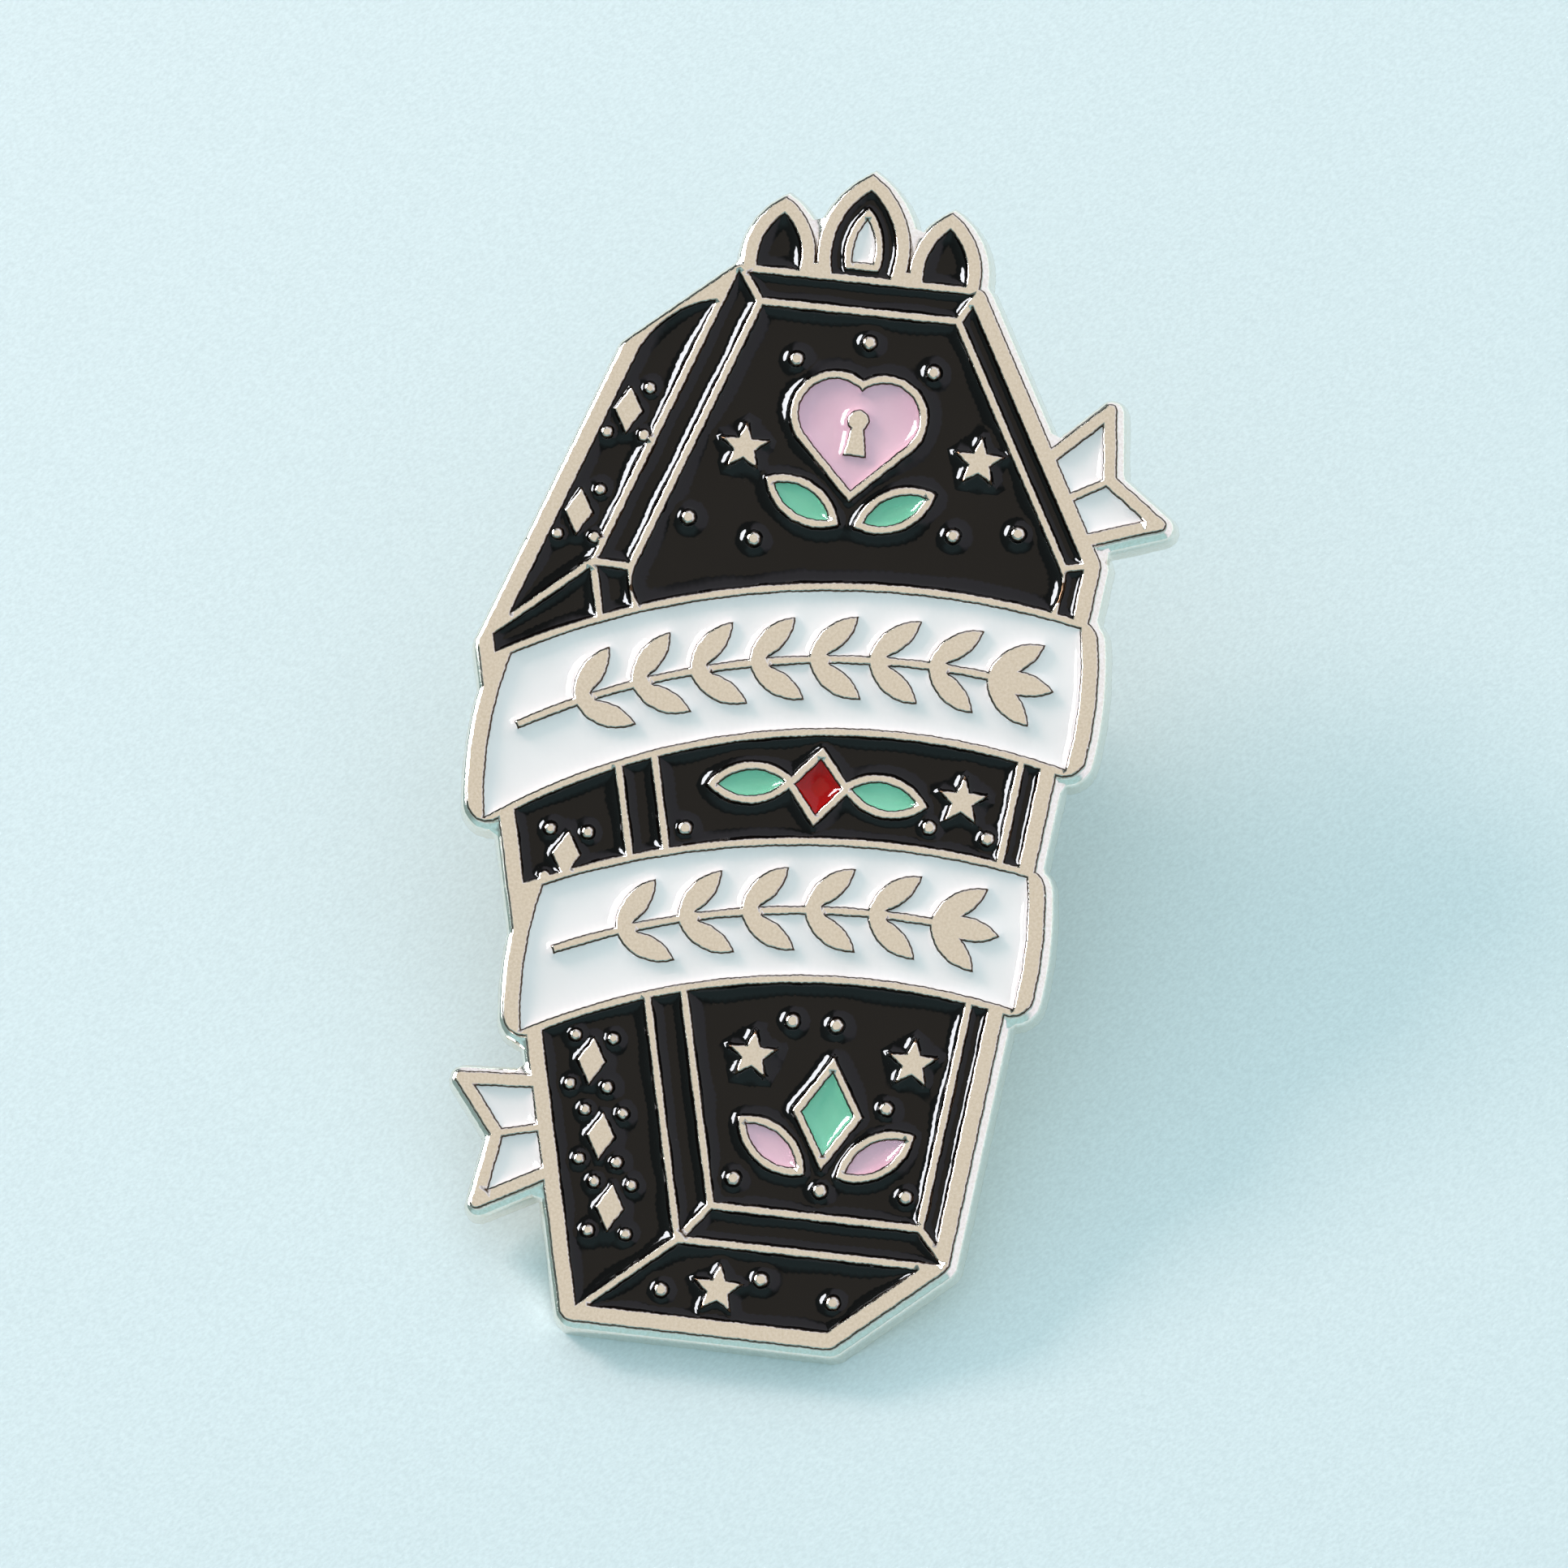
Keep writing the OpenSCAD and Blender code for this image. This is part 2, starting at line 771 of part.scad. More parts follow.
base_plate();
black_lid_upper();
black_lid_middle();
black_lid_lower();
black_moulding_upper();
black_moulding_middle();
black_moulding_lower();
black_side_upper();
black_side_middle();
black_side_lower();
black_foot();
black_cresting();
white_ribbon_upper();
white_ribbon_lower();
white_tail_upper();
white_tail_lower();
white_crest_inlay();
mint_enamel();
pink_enamel();
red_enamel();
post();
post_solder();
clutch_cap();
clutch_wing_left();
clutch_wing_right();
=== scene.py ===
"""Soft-enamel pin with a nail post and a butterfly clutch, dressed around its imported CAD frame.

Plans are worked out in millimetres on the face of the pin, x to the right and z up; `place` turns a plan
and its height over the back of the plate into points of the frame in metres.
"""

import bpy
import numpy as np
from mathutils import Matrix, Vector
from mathutils.geometry import delaunay_2d_cdt
from mathutils.kdtree import KDTree


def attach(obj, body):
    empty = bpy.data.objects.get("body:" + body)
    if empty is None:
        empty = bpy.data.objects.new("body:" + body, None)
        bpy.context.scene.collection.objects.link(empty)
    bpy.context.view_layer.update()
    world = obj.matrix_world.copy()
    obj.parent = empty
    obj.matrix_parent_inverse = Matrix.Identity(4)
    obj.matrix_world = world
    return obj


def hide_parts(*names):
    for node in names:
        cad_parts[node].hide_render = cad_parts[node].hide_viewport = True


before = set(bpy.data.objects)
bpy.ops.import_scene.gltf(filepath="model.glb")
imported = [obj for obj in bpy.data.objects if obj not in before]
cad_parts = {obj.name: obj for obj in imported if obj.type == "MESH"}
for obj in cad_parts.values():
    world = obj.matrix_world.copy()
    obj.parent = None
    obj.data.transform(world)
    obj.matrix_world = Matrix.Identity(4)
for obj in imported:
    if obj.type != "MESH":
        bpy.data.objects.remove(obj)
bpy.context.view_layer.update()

# The struck plate.
# Iron stamped in a die, so rim, raised lines and motifs are one piece with the wells between them.
# Its edge is trimmed in a second stroke, which leaves a ledge; the whole is nickel plated and polished.
PLATE_T = 1.6      # back to the tops of the raised lines
WELL_Y = 1.0       # back to the floor of a well
LEDGE_Y = 0.95     # back to the ledge of the trimmed edge
EDGE_STEP = 0.36   # how far the trimmed edge stands out beyond the face
EDGE_LEAN = 0.08   # how far the trimmed edge leans in from its foot to where it rounds off
EDGE_ROUND = (0.25, 0.38)   # across and up, the quarter ellipse that rounds it off to the ledge
ROUND_Y = 0.55     # back to where the rounding begins
LEDGE_FALL = 2.7   # the ledge leans out 1 in this much at the wall
LINE_SHOULDER = (0.085, 0.08)   # width and drop of the rounding along a raised line
DOT_SHOULDER = (0.13, 0.08)     # the same on a dot, which is domed by it
DOT_AREA = 0.3     # in square millimetres, an outline of the face that holds less is a dot
POINT_STEP = 0.1   # between points along the plate's outlines
CORNER_TURN = 40   # in degrees, a sharper turn of an outline stays a corner
ARC_RATIO = 2.5    # a side this many times as long as the next one is a straight that meets an arc
TOOL_MARK = 0.008  # height of each of the waves along an outline that stand for tool marks
RING_CLEAR = 0.85  # share of its offset that a ring point keeps from every outline
RING_CELL = 0.03   # of ring points in one cell of this width only one stays
FLAT_REACH = 0.17  # a line's edge with no flat metal this near is on a tip, which takes less of the painted shade
TIP_DARK, RIM_DARK = 0.1, 0.4   # how much painted shade such tips and the rim's outer edge take, of 1


def place(plan, height):
    """Frame points of plan points (x, z) at a height over the back: (x, -height, z) in metres."""
    height = np.broadcast_to(height, len(plan))
    return np.column_stack([plan[:, 0], -height, plan[:, 1]]) / 1000


def face_outlines(node_name, height):
    """Closed outlines of a CAD node's flat face at a height over the back, the face on their left.

    An edge is on the outline if no triangle of the face has it the other way round; the edges are then
    joined end to end.
    """
    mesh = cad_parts[node_name].data
    spot = np.empty(3 * len(mesh.vertices))
    mesh.vertices.foreach_get("co", spot)
    spot = spot.reshape(-1, 3) * 1000
    corner = np.empty(len(mesh.loops), int)
    mesh.loops.foreach_get("vertex_index", corner)
    corner = corner.reshape(-1, 3)
    flat = (np.abs(spot[corner][:, :, 1] + height) < 1e-3).all(1)
    plan, name = np.unique(np.round(spot[:, [0, 2]], 4), axis=0, return_inverse=True)
    tri = name.reshape(-1)[corner[flat]]
    edge = np.concatenate([tri[:, [0, 1]], tri[:, [1, 2]], tri[:, [2, 0]]])
    there = edge[:, 0] * len(plan) + edge[:, 1]
    back = edge[:, 1] * len(plan) + edge[:, 0]
    after = dict(edge[~np.isin(there, back)].tolist())
    outlines = []
    while after:
        first, here = after.popitem()
        ring = [first]
        while here != first:
            ring.append(here)
            here = after.pop(here)
        outlines.append(plan[ring])
    return outlines


def area_of(outline):
    """Area inside an outline, below zero if it runs clockwise: half the sum of x z' - x' z."""
    x, z = outline.T
    return 0.5 * (x * np.roll(z, -1) - np.roll(x, -1) * z).sum()


def left_of(way):
    """Plan directions turned a quarter to the left: (-z, x)."""
    return np.column_stack([-way[:, 1], way[:, 0]])


def along(outline, step):
    """Points at most `step` apart on a closed outline, and each one's mitred step to the left.

    Between two CAD points the curve is a cubic with their tangents, p(t) = h00 p + h10 m + h01 q + h11 n.
    A tangent is that of the circle through a point and its neighbours, or the way of the longer side where
    a straight meets an arc. A sharp turn stays a corner, and a side that ends in one takes its other end's
    tangent mirrored. Two pairs of short sine waves, across and up, stand for the tool marks.
    """
    chord = np.roll(outline, -1, 0) - outline
    length = np.linalg.norm(chord, axis=1)
    way = chord / length[:, None]
    last_way, last_length = np.roll(way, 1, 0), np.roll(length, 1)
    tangent = last_way / last_length[:, None] + way / length[:, None]
    tangent = np.where((length > ARC_RATIO * last_length)[:, None], way, tangent)
    tangent = np.where((last_length > ARC_RATIO * length)[:, None], last_way, tangent)
    tangent /= np.linalg.norm(tangent, axis=1)[:, None]
    smooth = (last_way * way).sum(1) > np.cos(np.radians(CORNER_TURN))
    smooth_end = np.roll(smooth, -1)
    start, end = tangent, np.roll(tangent, -1, 0)

    def mirrored(v):
        """Tangents v mirrored in the sides' own ways w: 2 (v . w) w - v."""
        return 2 * (v * way).sum(1)[:, None] * way - v

    start, end = (np.where(smooth[:, None], start, np.where(smooth_end[:, None], mirrored(end), way)),
                  np.where(smooth_end[:, None], end, np.where(smooth[:, None], mirrored(start), way)))
    parts = np.ceil(length / step).astype(int)
    side = np.repeat(np.arange(len(outline)), parts)
    first = np.cumsum(parts) - parts
    t = ((np.arange(len(side)) - first[side]) / parts[side])[:, None]
    p, q = outline[side], np.roll(outline, -1, 0)[side]
    m, n = (start * length[:, None])[side], (end * length[:, None])[side]
    spot = ((2 * t**3 - 3 * t**2 + 1) * p + (t**3 - 2 * t**2 + t) * m
            + (3 * t**2 - 2 * t**3) * q + (t**3 - t**2) * n)
    run = 6 * (t**2 - t) * (p - q) + (3 * t**2 - 4 * t + 1) * m + (3 * t**2 - 2 * t) * n
    x, z = spot.T
    wave = np.column_stack([np.sin(9.1 * x + 5.3 * z) + np.sin(23 * z - 11 * x),
                            np.sin(8.3 * z - 6.1 * x + 1) + np.sin(21 * x + 13 * z)])
    spot = spot + TOOL_MARK * wave
    inward = left_of(run / np.linalg.norm(run, axis=1)[:, None])
    a, b = left_of(last_way), left_of(way)
    blunt = np.maximum(1 + (a * b).sum(1), 0.35)   # keeps the mitre of a very sharp corner short
    mitre = (a + b) / blunt[:, None]
    inward[first[~smooth]] = mitre[~smooth]
    return spot, inward


def rings(outlines, step, offsets, widths=None):
    """Evenly spaced points on outlines, then rings of points at offsets to their left.

    An offset is times its outline's width. A ring point that comes too near to any outline is left out,
    and so are all but one of those that crowd in one cell. Returns the plan, the offsets, unit steps to
    the left, the outlines' edges, each outline point's outline, and a tree for distances.
    """
    even = [along(o, step) for o in outlines]
    spot = np.concatenate([e[0] for e in even])
    inward = np.concatenate([e[1] for e in even])
    size = np.array([len(e[0]) for e in even])
    owner = np.repeat(np.arange(len(size)), size)
    begin = (np.cumsum(size) - size)[owner]
    number = np.arange(len(spot))
    edge = np.column_stack([number, begin + (number - begin + 1) % size[owner]])
    tree = KDTree(2 * len(spot))
    for i, p in enumerate(np.concatenate([spot, spot[edge].mean(1)]).tolist()):
        tree.insert((*p, 0), i)
    tree.balance()
    unit = inward / np.linalg.norm(inward, axis=1)[:, None]
    width = np.ones(len(spot)) if widths is None else np.array(widths)[owner]
    plan, depth, lean = [], [], []
    for offset in offsets:
        moved = spot + inward * (offset * width)[:, None]
        near = np.array([tree.find((*p, 0))[2] for p in moved.tolist()])
        keep = near > RING_CLEAR * offset * width
        plan.append(moved[keep])
        depth.append(np.full(keep.sum(), offset))
        lean.append(unit[keep])
    plan, depth, lean = np.concatenate(plan), np.concatenate(depth), np.concatenate(lean)
    cell = np.round(plan / RING_CELL).astype(int)
    one = np.sort(np.unique(cell, axis=0, return_index=True)[1])
    return (np.concatenate([spot, plan[one]]), np.concatenate([np.zeros(len(spot)), depth[one]]),
            np.concatenate([unit, lean[one]]), edge, owner, tree)


def step_to(plan, others):
    """Step from each plan point to the nearest of other points."""
    tree = KDTree(len(others))
    for i, p in enumerate(others.tolist()):
        tree.insert((*p, 0), i)
    tree.balance()
    return others[[tree.find((*p, 0))[1] for p in plan.tolist()]] - plan


def triangles(plan, edge):
    """Triangles between plan points on the left of closed edges, seen from the front.

    A triangle that has an edge the right way round is inside, and so is its neighbour over any side that
    is no edge.
    """
    _, _, faces, source, _, _ = delaunay_2d_cdt(
        [Vector(p) for p in plan.tolist()], edge.tolist(), [], 0, 1e-7, True)
    name = np.array([s[0] for s in source])
    tri = name[np.array(faces)]
    sides = np.stack([tri, np.roll(tri, -1, 1)], 2).reshape(-1, 2).tolist()
    holder = {(a, b): i // 3 for i, (a, b) in enumerate(sides)}
    fence = set(map(tuple, edge.tolist()))
    inside = {holder[side] for side in fence if side in holder}
    fresh = list(inside)
    while fresh:
        here = fresh.pop()
        for a, b in sides[3 * here:3 * here + 3]:
            beyond = holder.get((b, a))
            if (a, b) not in fence and beyond is not None and beyond not in inside:
                inside.add(beyond)
                fresh.append(beyond)
    return tri[sorted(inside)]


def piece(name, points, patches, *materials):
    """Mesh object of points in metres and patches of faces, each (corners, normals of all points, material
    number); the normals are kept as the mesh's own."""
    mesh = bpy.data.meshes.new(name)
    mesh.from_pydata(points.tolist(), [], [f for face, _, _ in patches for f in face.tolist()])
    mesh.polygons.foreach_set("use_smooth", np.ones(len(mesh.polygons), bool))
    number = np.concatenate([np.full(len(f), m) for f, _, m in patches])
    mesh.polygons.foreach_set("material_index", number)
    normal = [np.broadcast_to(n, (len(points), 3))[f].reshape(-1, 3) for f, n, _ in patches]
    mesh.normals_split_custom_set(np.concatenate(normal).tolist())
    for material in materials:
        mesh.materials.append(material)
    made = bpy.data.objects.new(name, mesh)
    bpy.context.scene.collection.objects.link(made)
    return made


def facing(lean, up):
    """Unit normals that lean along plan directions and rise toward the front: (x, -up, z) / length."""
    normal = np.column_stack([lean[:, 0], -np.broadcast_to(up, len(lean)), lean[:, 1]])
    return normal / np.linalg.norm(normal, axis=1)[:, None]


def linear(colour):
    """Linear RGBA of an sRGB hex colour: c / 12.92 up to 0.04045, else ((c + 0.055) / 1.055) ** 2.4."""
    c = np.array([int(colour[i:i + 2], 16) for i in (1, 3, 5)]) / 255
    return (*np.where(c <= 0.04045, c / 12.92, ((c + 0.055) / 1.055) ** 2.4), 1)


def add_node(tree, kind, inputs=(), stops=(), **settings):
    """Adds a shader node. Inputs are pairs of an input's name or number and an output socket or a value,
    stops are a colour ramp's (position, hex colour or grey), and settings are the node's properties or
    further inputs by name."""
    made = tree.nodes.new("ShaderNode" + kind)
    for key, value in settings.items():
        if hasattr(made, key):
            setattr(made, key, value)
        else:
            made.inputs[key.replace("_", " ")].default_value = value
    for key, value in inputs:
        if isinstance(value, bpy.types.NodeSocket):
            tree.links.new(made.inputs[key], value)
        else:
            made.inputs[key].default_value = value
    if stops:
        elements = made.color_ramp.elements
        while len(elements) < len(stops):
            elements.new(1.0)
        for element, (position, tone) in zip(elements, stops):
            element.position = position
            element.color = linear(tone) if isinstance(tone, str) else (tone, tone, tone, 1)
    return made


def finish(name, **settings):
    """New material with its constants set on the Principled shader; returns it, its node tree, the shader
    and the object's own coordinates."""
    material = bpy.data.materials.new(name)
    material.use_nodes = True
    tree = material.node_tree
    shader = tree.nodes["Principled BSDF"]
    for key, value in settings.items():
        shader.inputs[key.replace("_", " ")].default_value = value
    return material, tree, shader, add_node(tree, "TexCoord").outputs["Object"]


def polished_nickel():
    """Bright nickel over a struck and tumbled blank: warm grey with flecks 0.1 mm across, fine handling
    scratches, a few pits 0.1 mm across and slow changes of gloss over millimetres. It is painted dark
    brown along the edges of the lines, at the feet of the wells' walls and in part at the rim's outer
    edge, after an
    attribute of the plate: painted shade and painted dark reflection on those edges."""
    material, tree, shader, spot = finish("polished_nickel", Metallic=1.0)
    cloud = add_node(tree, "TexNoise", [("Vector", spot)], Scale=420.0, Detail=3.0)
    fleck = add_node(tree, "TexNoise", [("Vector", spot)], Scale=10000.0, Detail=1.0)
    tone = add_node(tree, "ValToRGB", [("Fac", fleck.outputs["Fac"])],
                    [(0.3, "#ede7dc"), (0.7, "#f8f4ed")])
    # painted shade: the plate's share of dark brown painted along the edges of its lines and walls
    edge = add_node(tree, "Attribute", attribute_name="edge_shade")
    uneven = add_node(tree, "Math", [(0, fleck.outputs["Fac"]), (1, 0.6), (2, edge.outputs["Fac"])],
                      operation="MULTIPLY_ADD")
    # how much of the painted shade shows, broken up by the flecks
    dull = add_node(tree, "ValToRGB", [("Fac", uneven.outputs["Value"])], [(0.45, 0.0), (0.85, 1.0)])
    edge_shaded = add_node(tree, "Mix", [("Factor", dull.outputs["Color"]), (6, tone.outputs["Color"]),
                                  (7, linear("#4b3a2c"))], data_type="RGBA")
    tree.links.new(shader.inputs["Base Color"], edge_shaded.outputs[2])
    gloss = add_node(tree, "MapRange", [("Value", cloud.outputs["Fac"])], From_Min=0.3, From_Max=0.7,
                     To_Min=0.1, To_Max=0.18)
    tree.links.new(shader.inputs["Roughness"], gloss.outputs["Result"])
    pit = add_node(tree, "TexVoronoi", [("Vector", spot)], Scale=1500.0)
    pits = add_node(tree, "ValToRGB", [("Fac", pit.outputs["Distance"])], [(0.06, 0.0), (0.12, 1.0)])
    dents = add_node(tree, "Bump", [("Height", pits.outputs["Color"])], Strength=0.15, Distance=0.00002)
    stretch = add_node(tree, "Mapping", [("Vector", spot)], Scale=(500.0, 500.0, 14000.0))
    scratch = add_node(tree, "TexNoise", [("Vector", stretch.outputs["Vector"])], Scale=1.0, Detail=2.0)
    lines = add_node(tree, "Bump",
                     [("Height", scratch.outputs["Fac"]), ("Normal", dents.outputs["Normal"])],
                     Strength=0.06, Distance=0.00002)
    tree.links.new(shader.inputs["Normal"], lines.outputs["Normal"])
    return material


def blasted_nickel():
    """The back as it leaves the die: nickel over a grain of about 0.15 mm, so it glows more than it
    mirrors."""
    material, tree, shader, spot = finish("blasted_nickel", Metallic=1.0)
    cloud = add_node(tree, "TexNoise", [("Vector", spot)], Scale=300.0, Detail=4.0)
    tone = add_node(tree, "ValToRGB", [("Fac", cloud.outputs["Fac"])],
                    [(0.3, "#d6cfc3"), (0.7, "#e6e0d5")])
    tree.links.new(shader.inputs["Base Color"], tone.outputs["Color"])
    gloss = add_node(tree, "MapRange", [("Value", cloud.outputs["Fac"])], From_Min=0.3, From_Max=0.7,
                     To_Min=0.3, To_Max=0.42)
    tree.links.new(shader.inputs["Roughness"], gloss.outputs["Result"])
    grain = add_node(tree, "TexVoronoi", [("Vector", spot)], Scale=6500.0)
    bump = add_node(tree, "Bump", [("Height", grain.outputs["Distance"])], Strength=0.5, Distance=0.00008)
    tree.links.new(shader.inputs["Normal"], bump.outputs["Normal"])
    return material


def edge_profile():
    """The trimmed edge from the back up to the ledge, as rows of (inset, height, outward, forward).

    Its lower corner is broken and it leans in a little. Then a quarter ellipse, a across and b up, rounds
    it off: inset a (1 - cos f), height b sin f, with the normal (cos f / a, sin f / b).
    """
    broken = [(0.05, 0.0, 0.0, -1.0), (0.015, 0.015, 0.7, -0.7), (0.0, 0.05, 1.0, 0.0)]
    leaning = [(0.01, 0.1, 0.99, 0.14)]
    across, up = EDGE_ROUND
    f = np.radians([15, 35, 55, 70])
    rounding = np.column_stack([EDGE_LEAN + across * (1 - np.cos(f)), ROUND_Y + up * np.sin(f),
                                np.cos(f) / across, np.sin(f) / up])
    return np.concatenate([broken, leaning, rounding])


def struck_plate():
    """The plate from its CAD outlines.

    Each outline of the face carries a shoulder that falls as a quarter ellipse, a along the face and b
    down: offset a (1 - cos f), drop b (1 - sin f). Walls go straight down from the shoulders to the floors
    of the wells or to the ledge. The trimmed edge is its profile carried along the back's outline, and the
    ledge's normals lean out from the wall's foot to the end of that profile.
    """
    face = sorted(face_outlines("base_plate", PLATE_T), key=lambda o: -area_of(o))
    dot = [0 < area_of(o) < DOT_AREA for o in face]
    turn = np.radians([25, 50, 90])
    reach = np.where(dot, DOT_SHOULDER[0], LINE_SHOULDER[0])
    plan, depth, unit, edge, owner, _ = rings(face, POINT_STEP, 1 - np.cos(turn), reach)
    n = len(owner)
    f = np.arccos(np.clip(1 - depth, 0, 1))
    domed = np.isin(owner, np.flatnonzero(dot))
    to_dot, to_line = (np.linalg.norm(step_to(plan, plan[:n][some]), axis=1)
                       for some in (domed, ~domed))
    on_dot = to_dot < to_line
    wide, tall = np.where(on_dot[:, None], DOT_SHOULDER, LINE_SHOULDER).T
    points = [place(plan, PLATE_T - tall * (1 - np.sin(f)))]
    face_normal = facing(-unit * (tall * np.cos(f))[:, None], np.maximum(wide * np.sin(f), 1e-4))
    wall_normal = facing(-unit[:n], 0.0)
    outer = owner == 0
    rim, rim_unit = along(np.flip(face_outlines("base_plate", 0.0)[0], 0), POINT_STEP)
    rim_unit /= np.linalg.norm(rim_unit, axis=1)[:, None]
    rim_in = step_to(rim, along(face[0], POINT_STEP / 5)[0]) / EDGE_STEP
    foot = plan[:n]
    points.append(place(foot, np.where(outer, LEDGE_Y, WELL_Y)))
    i, j = edge.T
    base = len(plan)
    wall = np.column_stack([base + i, base + j, j, i])
    floor = triangles(foot, np.flip(edge[~outer], 1)) + base
    profile = edge_profile()
    band, band_normal = [], []
    for inset, height, outward, forward in profile:
        points.append(place(rim + rim_in * inset, height))
        band_normal.append(facing(-rim_unit * outward, forward))
    base_rim = base + n
    k = len(rim)
    here = np.arange(k)
    there = (here + 1) % k
    for level in range(len(profile) - 1):
        low, high = base_rim + level * k, base_rim + (level + 1) * k
        band.append(np.column_stack([low + here, low + there, high + there, high + here]))
    last = base_rim + (len(profile) - 1) * k
    ring = np.column_stack([here, there])
    inner = np.flatnonzero(outer)
    ledge_plan = np.concatenate([rim + rim_in * profile[-1, 0], foot[inner]])
    ledge_name = np.concatenate([last + here, base + inner])
    ledge_edge = np.concatenate([ring, k + edge[outer]])
    ledge = ledge_name[triangles(ledge_plan, ledge_edge)]
    back = np.flip(triangles(rim + rim_in * profile[0, 0], ring), 1) + base_rim
    points = np.concatenate(points)
    normal = np.zeros((len(points), 3))
    normal[:base] = face_normal
    normal[base:base_rim] = wall_normal
    normal[base_rim:] = np.concatenate(band_normal)
    skirt = normal.copy()
    skirt[base:base_rim] = facing(-unit[:n], LEDGE_FALL)
    front = np.array([0.0, -1.0, 0.0])
    patches = [(triangles(plan, edge), normal, 0), (wall, normal, 0), (floor, front, 0),
               (np.concatenate(band), normal, 0), (ledge, skirt, 0), (back, -front, 1)]
    made = piece("struck_plate", points, patches, polished_nickel(), blasted_nickel())
    # How much painted shade the metal takes, for the shade and dark reflection along its edges: 1 along
    # the edges of the lines and at the feet of the wells' walls, and 0 on the flats and on the trimmed
    # edge.
    edge_shade = np.zeros(len(points))
    edge_shade[:base] = 1 - np.clip(depth * wide / LINE_SHOULDER[0], 0, 1)
    to_flat = np.linalg.norm(step_to(plan[:n], plan[depth > 0.99]), axis=1)
    edge_shade[:n][to_flat > FLAT_REACH] = TIP_DARK
    edge_shade[:n][outer] = RIM_DARK
    edge_shade[base:base_rim] = ~outer
    made.data.attributes.new("edge_shade", "FLOAT", "POINT").data.foreach_set("value", edge_shade)
    return made


plate = struck_plate()
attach(plate, "pin")
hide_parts("base_plate")

# The enamel.
# Soft enamel is run into each well as a liquid and baked, so it lies below the metal and climbs every
# wall. Each fill is a piece of its own, in the colour of its node's name.
FILL_Y = 1.42       # the CAD fill's flat top over the back
WALL_Y = 1.51       # how high it stands at a wall
CLIMBS = ((0.19, 0.42), (0.09, 0.09))   # heights that it climbs to a wall, and over what lengths
FILL_STEP = 0.08    # between points along a fill's outlines
FILL_RINGS = (0.035, 0.085, 0.16, 0.26, 0.39, 0.55)   # offsets of the rings of points inside them
FILL_GRID = (0.26, 0.225)   # across and up, the spacing of the points farther in
GRID_CLEAR = 0.68   # how far those stay from the outlines


def settled(plan, tri, n, reach):
    """Climb of a liquid, about 1 at its wall (the first n points) and dying away inside.

    It solves u = reach^2 (u_xx + u_zz), the small-slope law of a liquid surface, with linear triangles
    and conjugate gradients. Two slow waves along the wall make it as uneven as a fill by hand.
    """
    p = plan[tri]
    side = np.roll(p, -1, 1) - np.roll(p, 1, 1)
    twice = np.abs(side[:, 0, 0] * side[:, 1, 1] - side[:, 0, 1] * side[:, 1, 0])
    good = twice > 1e-9
    tri, side, twice = tri[good], side[good], twice[good]
    stiff = reach**2 * np.einsum("tik,tjk->tij", side, side) / (2 * twice)[:, None, None]
    mass = np.bincount(tri.ravel(), np.repeat(twice / 6, 3), len(plan))

    def apply(u):
        """The triangles' stiffness and mass times u."""
        local = np.einsum("tij,tj->ti", stiff, u[tri])
        return np.bincount(tri.ravel(), local.ravel(), len(plan)) + mass * u

    free = np.arange(len(plan)) >= n
    diagonal = np.bincount(tri.ravel(), np.einsum("tii->ti", stiff).ravel(), len(plan)) + mass + 1e-12
    x, z = plan.T
    u = np.where(free, 0.0, 1 + 0.07 * np.sin(2.1 * x + 1.3 * z) + 0.05 * np.sin(3.7 * z - 1.9 * x + 2))
    rest = np.where(free, -apply(u), 0)
    step = rest / diagonal
    way, power = step.copy(), (rest * step).sum()
    for _ in range(200):
        pushed = np.where(free, apply(way), 0)
        share = power / max((way * pushed).sum(), 1e-30)
        u += share * way
        rest -= share * pushed
        step = rest / diagonal
        power, before = (rest * step).sum(), power
        if power < 1e-14:
            break
        way = step + power / before * way
    return u


